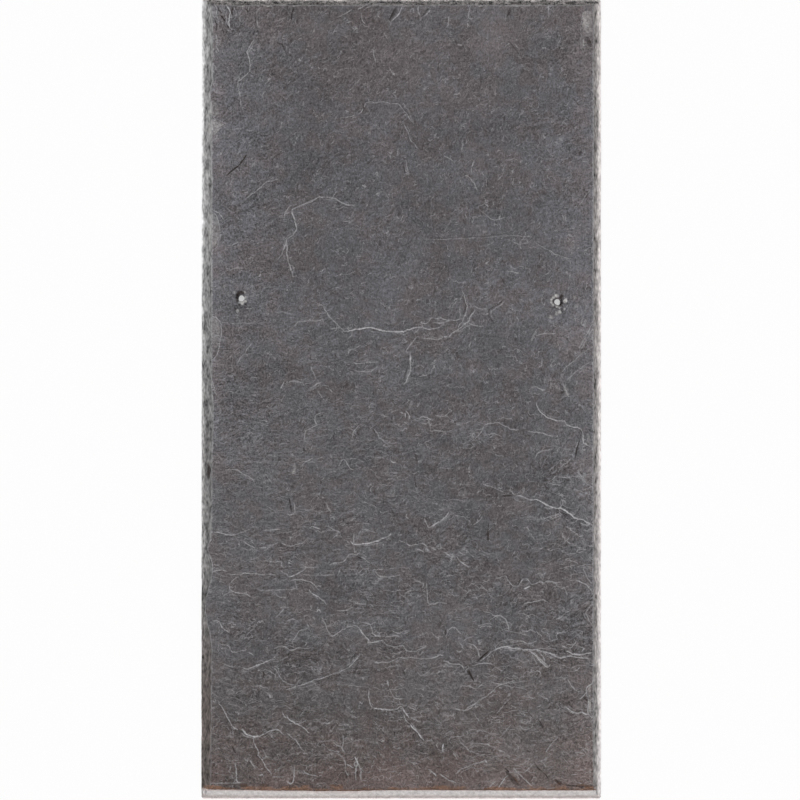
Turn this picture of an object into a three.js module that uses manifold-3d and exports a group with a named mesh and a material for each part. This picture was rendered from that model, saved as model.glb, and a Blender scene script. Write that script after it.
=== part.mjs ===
import * as THREE from 'three';
import { mergeVertices } from 'three/addons/utils/BufferGeometryUtils.js';
import Module from 'manifold-3d';

// A roofing slate: one sheet of riven slate, dressed to size on its four edges and
// holed for two nails. Millimetres, +Z up. The origin is the middle of the bed, the
// side that lies on the battens. The head is at +Y and the tail at -Y. The edges are
// dressed from the bed, so their bevels show round the upper, weathering face.

// The sheet
const tileLength = 500;
const tileWidth = 250;
const tileThickness = 6;
const headSetIn = 0.3; // the left side leans in by this much at the head

// The dressed edges, and the plan width of each bevel
const headBevelWidth = 4.7;
const tailBevelWidth = 6.2;
const leftBevelWidth = 7;
const rightBevelWidth = 5.3;
const lipHeight = 0.8; // upright lip left over the bed arris
const lowLedgeHeight = 2.4; // the bevel breaks back at two cleavage planes, this far up
const highLedgeHeight = 4.2;
const ledgeWidth = 0.5;
const lowLedgeShare = 0.22; // where on the bevel each ledge starts, and how far it wanders in from there
const highLedgeShare = 0.5;
const ledgeWander = 0.15;
const chipPitch = 9; // along the face arris, one bite of the dressing knife
const chipDepth = 0.9;
const tailChipDepth = 0.25; // the tail is dressed cleaner than the rest
const flakePitch = 22; // along a ledge
const outlineWaver = 0.35; // how far the outline wanders in from true

// The two nail holes
const nailHoleDiameter = 3.8;
const nailHoleFromTail = 312.8;
const rightHoleDrop = 2.3; // the right hole was punched a little lower
const leftHoleFromSide = 25.3;
const rightHoleFromSide = 27.6;
const leftSpallWidth = 6;
const leftSpallLength = 8.4;
const leftSpallDepth = 3.2;
const rightSpallWidth = 12;
const rightSpallLength = 9;
const rightSpallDepth = 2.4;

// Cleavage scars: where the split jumped from one plane to the next and left a ridge
const scarReach = 11; // from a ridge to where its low ground has risen to the face
const scarDepth = 0.5;
const flakeDrop = 0.9; // at the ridge of a flake knocked off an edge

const clearance = 1; // cutters stand this far out of the stone
const openEnd = 0.3; // half the width of a cutter at its two tips
const featherRise = 0.04; // a scar's floor runs out just over the face
const ridgeStep = 6; // length of one facet along a ridge
const holeSides = 20;

// Ridges on the face, points from the middle of the slate. Each one runs so that the
// low ground is on its left.
const faceRidges = [
  [[-31, 177], [-25, 180], [-21, 186], [-10, 186], [-2, 185.5], [2, 181], [7, 174]],
  [[-102, 198.5], [-99, 202], [-95, 206], [-94.5, 210], [-96.5, 217], [-94.5, 224]],
  [[-78, 87], [-75, 90], [-73, 97], [-69, 102], [-65, 108], [-68, 118]],
  [[42, 101], [52, 101.5], [62, 102.5], [72, 102.5], [82, 101.5], [90, 95], [97, 91], [108, 88]],
  [[13, 46], [4, 44], [-6, 43], [-19, 45], [-30, 43.5], [-40, 45]],
  [[32, 43], [37, 48], [40.5, 57], [38.5, 65], [37, 69]],
  [[0, 9], [4, 15], [5.6, 23], [5, 29], [3.5, 33]],
  [[116, -25], [112, -18], [104, -15], [94, -12.5], [88, -8.5], [84, -2.5]],
  [[117, -78], [112, -75], [106, -72], [99.5, -68], [93, -67.5], [86.5, -63.5], [77.5, -62], [68, -57]],
  [[-7.5, -85], [-13, -88], [-22, -90], [-27, -91], [-32, -88.5]],
  [[59, -111], [67, -115], [73, -116.5], [82, -115], [97, -115], [107, -113.5], [116, -116]],
  [[-42, -147], [-37, -144], [-31, -142], [-26, -145], [-20, -151], [-12, -151], [-7, -154], [5, -158]],
  [[48, -163], [55, -158], [67, -155], [82, -156], [92, -158], [100, -161], [117, -160.5]],
  [[-82, -167], [-78, -170], [-74, -176], [-63, -180], [-49, -175], [-35, -168], [-27, -161]],
  [[14, -214], [9, -207.5], [2, -196], [-2, -192.5], [-9, -194], [-17, -193.5]],
  [[-63, -219], [-67, -214], [-78, -207], [-87, -210], [-95, -210.5], [-105, -205], [-115, -188]],
];

// Flakes off the edges: the side, the middle along it, the length and the bite behind
// the face arris
const edgeFlakes = [
  { side: 'left', at: 174, length: 22, bite: 7 },
  { side: 'left', at: 104, length: 24, bite: 4.5 },
  { side: 'left', at: 38, length: 26, bite: 5.5 },
  { side: 'left', at: -62, length: 14, bite: 2.5 },
  { side: 'right', at: 228, length: 24, bite: 6 },
  { side: 'right', at: 28, length: 36, bite: 8 },
  { side: 'right', at: -54, length: 18, bite: 4 },
  { side: 'right', at: -135, length: 14, bite: 4 },
  { side: 'right', at: -189, length: 20, bite: 4 },
  { side: 'head', at: -4, length: 11, bite: 10 },
  { side: 'head', at: 65, length: 9, bite: 7 },
  { side: 'head', at: -70, length: 10, bite: 5 },
  { side: 'tail', at: 72, length: 13, bite: 7 },
  { side: 'tail', at: -93, length: 16, bite: 3 },
];

// A chip in plan: places along it from 0 to 1, and the share of its bite there
const chipShape = [[0, 0], [0.32, 0.8], [0.68, 1]];

const slateGrey = 0x636062;

// A repeatable stream of numbers from 0 to 1
function dice(seed) {
  let state = seed;
  return () => {
    state = (Math.imul(state, 1664525) + 1013904223) >>> 0;
    return state / 4294967296;
  };
}

// A smooth wander from 0 to 1 along a length, one knot in every pitch
function wander(length, pitch, seed) {
  const roll = dice(seed);
  const knots = Array.from({ length: Math.ceil(length / pitch) + 2 }, roll);
  return (distance) => {
    const place = distance / pitch;
    const knot = Math.floor(place);
    const share = THREE.MathUtils.smoothstep(place - knot, 0, 1);
    return THREE.MathUtils.lerp(knots[knot], knots[knot + 1], share);
  };
}

// The four sides, in turn round the slate, each with its corners on the bed
const halfWidth = tileWidth / 2;
const halfLength = tileLength / 2;
const corners = {
  tailLeft: new THREE.Vector2(-halfWidth, -halfLength),
  tailRight: new THREE.Vector2(halfWidth, -halfLength),
  headRight: new THREE.Vector2(halfWidth, halfLength),
  headLeft: new THREE.Vector2(-halfWidth + headSetIn, halfLength),
};
const sides = {
  tail: { from: corners.tailLeft, to: corners.tailRight, bevel: tailBevelWidth, bite: tailChipDepth },
  right: { from: corners.tailRight, to: corners.headRight, bevel: rightBevelWidth, bite: chipDepth },
  head: { from: corners.headRight, to: corners.headLeft, bevel: headBevelWidth, bite: chipDepth },
  left: { from: corners.headLeft, to: corners.tailLeft, bevel: leftBevelWidth, bite: chipDepth },
};
for (const side of Object.values(sides)) {
  side.length = side.from.distanceTo(side.to);
  side.along = side.to.clone().sub(side.from).normalize();
  side.inward = new THREE.Vector2(-side.along.y, side.along.x);
}

// Stations along a side: chips of uneven length, three stations to a chip. Each has how
// deep the chip bites into the face there, and how far the bed arris wavers in.
function chipStations(side, seed) {
  const roll = dice(seed);
  const stations = [];
  let reached = 0;
  while (reached < side.length) {
    const chipLength = chipPitch * (0.5 + roll());
    const bite = side.bite * (0.3 + 0.7 * roll());
    for (const [share, hollow] of chipShape) {
      const waver = outlineWaver * (hollow > 0 ? 0.6 + 0.4 * roll() : 0.4 * roll());
      stations.push({ distance: reached + share * chipLength, bite: bite * hollow, waver });
    }
    reached += chipLength;
  }
  return stations.map((station) => ({ ...station, share: station.distance / reached }));
}

// Where two sides meet when each is set in by its own amount
function innerCorner(before, insetBefore, after, insetAfter) {
  const point = after.from.clone();
  const turn = before.inward.dot(after.along);
  point.addScaledVector(after.along, insetBefore / turn);
  return point.addScaledVector(after.inward, insetAfter);
}

// One closed ring of points at a height. insetOf gives a side's even inset, and
// extraOf what a station adds to it. What is added fades out towards the corners.
function edgeRing(height, insetOf, extraOf) {
  const order = [sides.tail, sides.right, sides.head, sides.left];
  return order.flatMap((side, index) => {
    const before = order[(index + 3) % 4];
    const after = order[(index + 1) % 4];
    const start = innerCorner(before, insetOf(before), side, insetOf(side));
    const end = innerCorner(side, insetOf(side), after, insetOf(after));
    return side.stations.map((station) => {
      const toCorner = Math.min(station.share, 1 - station.share) * side.length;
      const fade = Math.min(1, toCorner / chipPitch);
      const point = start.clone().lerp(end, station.share);
      point.addScaledVector(side.inward, extraOf(side, station) * fade);
      return new THREE.Vector3(point.x, point.y, height);
    });
  });
}

// The outer and the inner edge of a ledge along one cleavage plane of the bevels
function ledgeRings(height, share, seed) {
  const wanders = new Map(Object.values(sides).map((side, index) => (
    [side, wander(side.length, flakePitch, seed + index)]
  )));
  const inset = (side) => side.bevel * share;
  const extra = (side, station) => side.bevel * ledgeWander * wanders.get(side)(station.share * side.length);
  return [
    edgeRing(height, inset, extra),
    edgeRing(height, (side) => inset(side) + ledgeWidth, extra),
  ];
}

// The dressed blank: rings from the bed arris up to the face arris, and two flat caps
function dressedBlank() {
  Object.values(sides).forEach((side, index) => {
    side.stations = chipStations(side, 11 + index);
  });
  const waverAt = (side, station) => station.waver;
  const rings = [
    edgeRing(0, () => 0, waverAt),
    edgeRing(lipHeight, () => 0, waverAt),
    ...ledgeRings(lowLedgeHeight, lowLedgeShare, 51),
    ...ledgeRings(highLedgeHeight, highLedgeShare, 81),
    edgeRing(tileThickness, (side) => side.bevel, (side, station) => station.bite),
  ];
  const count = rings[0].length;
  const positions = rings.flat().flatMap((point) => point.toArray());
  const triangles = [];
  for (let ring = 0; ring + 1 < rings.length; ring += 1) {
    for (let i = 0; i < count; i += 1) {
      const low = ring * count + i;
      const lowNext = ring * count + ((i + 1) % count);
      triangles.push(low, lowNext, lowNext + count, low, lowNext + count, low + count);
    }
  }
  const cap = (ring, facesUp) => {
    for (const triangle of THREE.ShapeUtils.triangulateShape(rings[ring], [])) {
      const [a, b, c] = triangle.map((corner) => rings[ring][corner]);
      const turnsLeft = (b.x - a.x) * (c.y - a.y) - (b.y - a.y) * (c.x - a.x) > 0;
      const ordered = turnsLeft === facesUp ? triangle : [triangle[0], triangle[2], triangle[1]];
      triangles.push(...ordered.map((corner) => ring * count + corner));
    }
  };
  cap(0, false);
  cap(rings.length - 1, true);
  const geometry = new THREE.BufferGeometry();
  geometry.setAttribute('position', new THREE.Float32BufferAttribute(positions, 3));
  geometry.setIndex(triangles);
  return geometry;
}

// The tool that lifts a flake: a strip between a ridge and the line where its floor
// runs out. Both are lists of points on the floor, and low ground is on the left.
function flakeCutter(ridge, runOut) {
  const top = tileThickness + clearance;
  const raised = (points) => points.map((point) => new THREE.Vector3(point.x, point.y, top));
  const rows = [ridge, runOut, raised(runOut), raised(ridge)];
  const last = ridge.length - 1;
  const geometry = new THREE.BufferGeometry();
  const positions = rows.flat().flatMap((point) => point.toArray());
  geometry.setAttribute('position', new THREE.Float32BufferAttribute(positions, 3));
  const at = (row, i) => (row % 4) * ridge.length + i;
  const triangles = [];
  const quad = (a, b, c, d) => triangles.push(a, b, c, a, c, d);
  for (let row = 0; row < 4; row += 1) {
    for (let i = 0; i < last; i += 1) {
      quad(at(row, i), at(row + 1, i), at(row + 1, i + 1), at(row, i + 1));
    }
  }
  quad(at(0, 0), at(3, 0), at(2, 0), at(1, 0));
  quad(at(0, last), at(1, last), at(2, last), at(3, last));
  geometry.setIndex(triangles);
  return geometry;
}

// A flake's floor along a ridge: depth at the ridge and at the run-out, both easing to
// nothing at the two tips
function flakeAlong(points, lowSide, reach, depth, runOutDepth) {
  const curve = new THREE.SplineCurve(points);
  const facets = Math.max(4, Math.round(curve.getLength() / ridgeStep));
  const ridge = [];
  const runOut = [];
  for (let i = 0; i <= facets; i += 1) {
    const point = curve.getPointAt(i / facets);
    const swell = Math.sqrt(Math.abs(Math.sin((Math.PI * i) / facets)));
    const far = point.clone().addScaledVector(lowSide, openEnd + reach * swell);
    point.addScaledVector(lowSide, -openEnd * (1 - swell));
    ridge.push(new THREE.Vector3(point.x, point.y, tileThickness + featherRise - depth * swell));
    runOut.push(new THREE.Vector3(far.x, far.y, tileThickness + featherRise - runOutDepth * swell));
  }
  return flakeCutter(ridge, runOut);
}

function faceScar(ridge) {
  const points = ridge.map(([x, y]) => new THREE.Vector2(x, y));
  const chord = points.at(-1).clone().sub(points[0]).normalize();
  return flakeAlong(points, new THREE.Vector2(-chord.y, chord.x), scarReach, scarDepth, 0);
}

function edgeFlake({ side, at, length, bite }) {
  const { from, along, inward, bevel } = sides[side];
  const middle = Math.abs(along.x) > Math.abs(along.y) ? (at - from.x) / along.x : (at - from.y) / along.y;
  const shape = [[-0.5, 0], [-0.3, 0.6], [0.05, 1], [0.3, 0.7], [0.5, 0]];
  const points = shape.map(([share, depth]) => {
    const point = from.clone().addScaledVector(along, middle + share * length);
    return point.addScaledVector(inward, bevel + depth * bite);
  });
  const outward = inward.clone().negate();
  return flakeAlong(points.reverse(), outward, bite + bevel * 0.5, flakeDrop, flakeDrop * 2);
}

// A nail hole: the punch goes straight through and spalls the face round it
function nailHole(x, y) {
  const height = tileThickness + 2 * clearance;
  const hole = new THREE.CylinderGeometry(nailHoleDiameter / 2, nailHoleDiameter / 2, height, holeSides);
  hole.rotateX(Math.PI / 2);
  return hole.translate(x, y, tileThickness / 2);
}

function nailSpall(x, y, width, length, depth) {
  const profile = [[0, -1], [0.36, -1], [0.6, -0.5], [0.86, -0.3], [1, 0], [1.04, 1], [0, 1]];
  const points = profile.map(([reach, rise]) => (
    new THREE.Vector2(reach, rise > 0 ? rise * clearance : rise * depth)
  ));
  const spall = new THREE.LatheGeometry(points, holeSides);
  spall.rotateX(Math.PI / 2);
  const place = spall.getAttribute('position');
  for (let i = 0; i < place.count; i += 1) {
    const angle = Math.atan2(place.getY(i), place.getX(i));
    const lobes = 0.92 + 0.08 * Math.sin(3 * angle + x) + 0.05 * Math.cos(5 * angle);
    place.setX(i, place.getX(i) * lobes * width / 2);
    place.setY(i, place.getY(i) * lobes * length / 2);
  }
  return spall.translate(x, y, tileThickness);
}

const wasm = await Module();
wasm.setup();

function toSolid(geometry) {
  geometry.deleteAttribute('normal');
  geometry.deleteAttribute('uv');
  const merged = mergeVertices(geometry, 1e-4);
  return new wasm.Manifold(new wasm.Mesh({
    numProp: 3,
    vertProperties: new Float32Array(merged.getAttribute('position').array),
    triVerts: new Uint32Array(merged.getIndex().array),
  }));
}

function toGeometry(solid) {
  const mesh = solid.getMesh();
  const geometry = new THREE.BufferGeometry();
  geometry.setAttribute('position', new THREE.BufferAttribute(mesh.vertProperties, 3));
  geometry.setIndex(new THREE.BufferAttribute(mesh.triVerts, 1));
  geometry.computeVertexNormals();
  return geometry;
}

function slateTile() {
  const holeLevel = nailHoleFromTail - halfLength;
  const leftHole = [-halfWidth + leftHoleFromSide, holeLevel];
  const rightHole = [halfWidth - rightHoleFromSide, holeLevel - rightHoleDrop];
  const blank = toSolid(dressedBlank());
  const cutters = [
    ...faceRidges.map(faceScar),
    ...edgeFlakes.map(edgeFlake),
    nailHole(...leftHole),
    nailHole(...rightHole),
    nailSpall(...leftHole, leftSpallWidth, leftSpallLength, leftSpallDepth),
    nailSpall(...rightHole, rightSpallWidth, rightSpallLength, rightSpallDepth),
  ];
  const stone = cutters.reduce((solid, cutter) => solid.subtract(toSolid(cutter)), blank);
  const material = new THREE.MeshStandardMaterial({ color: slateGrey, roughness: 0.85, metalness: 0 });
  const mesh = new THREE.Mesh(toGeometry(stone), material);
  mesh.name = 'slate_tile';
  return mesh;
}

const slateRoofTile = new THREE.Group();
slateRoofTile.add(slateTile());

export default slateRoofTile;
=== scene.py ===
# A riven roofing slate, dressed on four sides and holed for two nails, lying face up on a white floor.
import math
import bpy
import numpy as np
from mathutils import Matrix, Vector
from mathutils.geometry import delaunay_2d_cdt


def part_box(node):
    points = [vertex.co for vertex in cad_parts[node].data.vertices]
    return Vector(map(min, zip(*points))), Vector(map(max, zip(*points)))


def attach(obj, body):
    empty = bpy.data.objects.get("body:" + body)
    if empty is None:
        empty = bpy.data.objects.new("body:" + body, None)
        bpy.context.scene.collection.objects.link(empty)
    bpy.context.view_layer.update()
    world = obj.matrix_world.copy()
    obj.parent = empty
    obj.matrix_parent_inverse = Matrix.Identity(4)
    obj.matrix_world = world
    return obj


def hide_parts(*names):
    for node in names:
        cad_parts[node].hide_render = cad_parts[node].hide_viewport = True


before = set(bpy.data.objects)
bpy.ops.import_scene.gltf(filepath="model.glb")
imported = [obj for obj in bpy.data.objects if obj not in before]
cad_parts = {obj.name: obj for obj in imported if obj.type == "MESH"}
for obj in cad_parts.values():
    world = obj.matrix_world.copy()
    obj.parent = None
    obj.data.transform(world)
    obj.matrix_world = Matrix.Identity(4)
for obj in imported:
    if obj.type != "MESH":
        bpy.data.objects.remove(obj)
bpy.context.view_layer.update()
tileLow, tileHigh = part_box("slate_tile")
mm = 0.001

slate = {  # the sheet of stone, in millimetres
    "width": (tileHigh.x - tileLow.x) / mm,
    "length": (tileHigh.y - tileLow.y) / mm,
    "thickness": (tileHigh.z - tileLow.z) / mm,
    "headSetIn": 0.3,  # how far the left side leans in at the head
    "deepestScar": 1.7,
    "lowest": 0.3,  # least height of the upper side above the bed
    "wallTone": 0.14,  # reflectance of the upright sides at the bed
    # the nail holes' walls are painted dark down to the bed, as the shade inside the holes
    "holeWallShade": -0.9,  # how dark the nail holes' walls are there, as a mark
    "softEdge": 32,  # degrees between two faces, up to which the light runs on smoothly
}

meshing = {  # how finely the sheet is meshed, in millimetres
    "station": 1.3,  # between the points along a dressed side
    "fill": 1.95,  # between the points that fill the face
    "fillMargin": 1.0,
    "fillSeed": 5,
    "faceMargin": 0.6,  # from the arris to the nearest of them
    "apart": 0.9,  # from them to a row of points
    "rowMargin": 0.25,  # from the outline to the end of a row
    "tailMargin": 0.2,  # the same for the tail's arris
    "bed": 5.0,  # between the points that fill the bed
    "bedMargin": 3.0,
    "bedSeed": 6,
    "bedHole": 2.5,  # from a nail hole's middle to the nearest of them, in radii
    "bedMerge": 1e-6,  # the same as merge, for the bed
    "rimSlack": 1e-4,  # how far outside the outline a triangle of the bed may lie
    "flakeStep": 1.0,  # between the points round a flake
    "cornerCut": 0.7,
    "riser": 0.16,  # plan width of the steep front of a lamina
    "jitter": 0.28,  # share of a step by which the points of a grid are shaken
    "rowShare": 0.87,  # distance between the rows of a grid, as a share of its step
    "merge": 0.004,  # points nearer than this become one
}

# the grid that the slate was read on: mm to a step, and the column and row of its middle
survey = {"pitch": 0.6230, "middle": (401.2, 399.0)}

dressedSides = {
    # chisel-dressed bevels, in mm: width, laminae, how far the fronts wander, share of a step that its tread
    # climbs, depth of the chips, height of the lip
    "tail": {"bevel": 6.2, "laminae": 2, "wander": 0.35, "tread": 0.85, "chip": 0.3, "lip": 1.0, "seed": 11,
             # column and row of each point of its arris
             "arris": [200,789.4, 236,789.6, 262,790.3, 290,790.5, 315,791.0, 350,790.9, 385,790.2,
                       410,789.9, 450,790.1, 520,790.3, 602,790.2],
             # between 0.95 and 2.05 mm from the edge the tone is darker: painted shade near the lip
             "seams": (0.55, 0.95, 2.05, 2.5, 5.35)},  # mm from the edge where the stone's tone changes
    "right": {"bevel": 5.3, "laminae": 4, "wander": 1.3, "tread": 0.6, "chip": 0.3, "lip": 0.9, "seed": 23},
    "head": {"bevel": 4.7, "laminae": 4, "wander": 1.1, "tread": 0.5, "chip": 0.5, "lip": 0.8, "seed": 37},
    "left": {"bevel": 7.0, "laminae": 4, "wander": 1.6, "tread": 0.6, "chip": 0.22, "lip": 0.8, "seed": 53,
             "arris": [212.5,0, 212.6,82, 210,92, 210.5,100, 211.8,110, 211.8,385, 213,398, 213,430,
                       212,461, 211.7,530, 210.5,540, 207.5,548, 209.5,556, 212,562, 211.5,580, 209.5,586,
                       208,592, 206,600, 204.8,612, 206,620, 209,630, 211,640, 212,648, 211.4,700, 211,730,
                       210.5,800]},
}

chisel = {  # how the chisel went along a side, in mm
    "chips": (4.5, 1.4),  # between the knots of large and of small chips
    "chipFrom": 0.4,  # height of a knot, from 0 to 1, above which it makes a large chip
    "smallChip": 0.5,  # depth of a small chip, as a share of a large one
    "lipKept": 0.12,  # depth below which nothing came off
    "steadier": (0.85, 4),  # how much less a front wanders at the arris, and the power of its share
    "sways": ((11, 1.5, 7), (3.2, 0.8, 9)),  # of a front: between knots, size, step of the seed
    "swayMiddle": 1.15,
    "tremor": (1.3, 0.16),  # between its knots, size
    "leastTread": 1.5,  # from front to front at least, in riser widths
}

bevelFinish = {
    # the chiselled sides: reflectance from lip to arris at the head end and at the tail end, brownness at
    # both ends, strength of the grain and tone of the arris, whose line, where pale, is partly pale broken
    # stone and partly a painted highlight
    "tail": {"head": ((0, 0.42), (1, 0.46)),
             # at the tail end, the low stretch from 0.15 to 0.33 of the way in is painted shade
             "tail": ((0, 0.80), (0.09, 0.50), (0.15, 0.315), (0.33, 0.34), (0.40, 0.435), (0.7, 0.44),
                      (0.9, 0.455), (1, 0.34)),
             "brown": (1.0, 1.0), "browner": ((0, 1.3), (0.33, 1.5), (0.5, 0.7), (0.85, 0.6), (1, 3.0)),
             "grain": 0.42, "arris": -0.15},
    "right": {"head": ((0, 0.92), (0.15, 0.80), (0.3, 0.62), (0.5, 0.44), (0.62, 0.27), (1, 0.25)),
              "tail": ((0, 0.95), (0.15, 0.88), (0.3, 0.74), (0.42, 0.55), (0.56, 0.28), (1, 0.25)),
              "brown": (0.7, 0.9), "grain": 1.15, "arris": 0.6},
    "head": {"head": ((0, 0.80), (0.14, 0.60), (0.26, 0.34), (0.36, 0.21), (1, 0.17)),
             "tail": ((0, 0.80), (1, 0.16)),
             "brown": (1.0, 0.9), "grain": 1.8, "arris": 0.36},
    "left": {"head": ((0, 0.85), (0.1, 0.62), (0.18, 0.34), (0.42, 0.26), (0.72, 0.24), (0.84, 0.19),
                      (1, 0.18)),
             "tail": ((0, 0.13), (0.09, 0.105), (0.2, 0.094), (1, 0.090)),
             "brown": (2.2, 0.0), "grain": 1.15, "arris": 0.72},
}
# how far the sides have paled towards their head end: mm up from the middle of the slate, share
paling = ((-250, 0.0), (-190, 0.0), (-156, 0.12), (-125, 0.32), (-95, 0.44), (-66, 0.46), (-41, 0.38),
          (-20, 0.45), (3, 0.55), (46, 0.63), (90, 0.83), (110, 0.9), (150, 1.0))
browning = 4  # power at which the brownness fades with it
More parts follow.
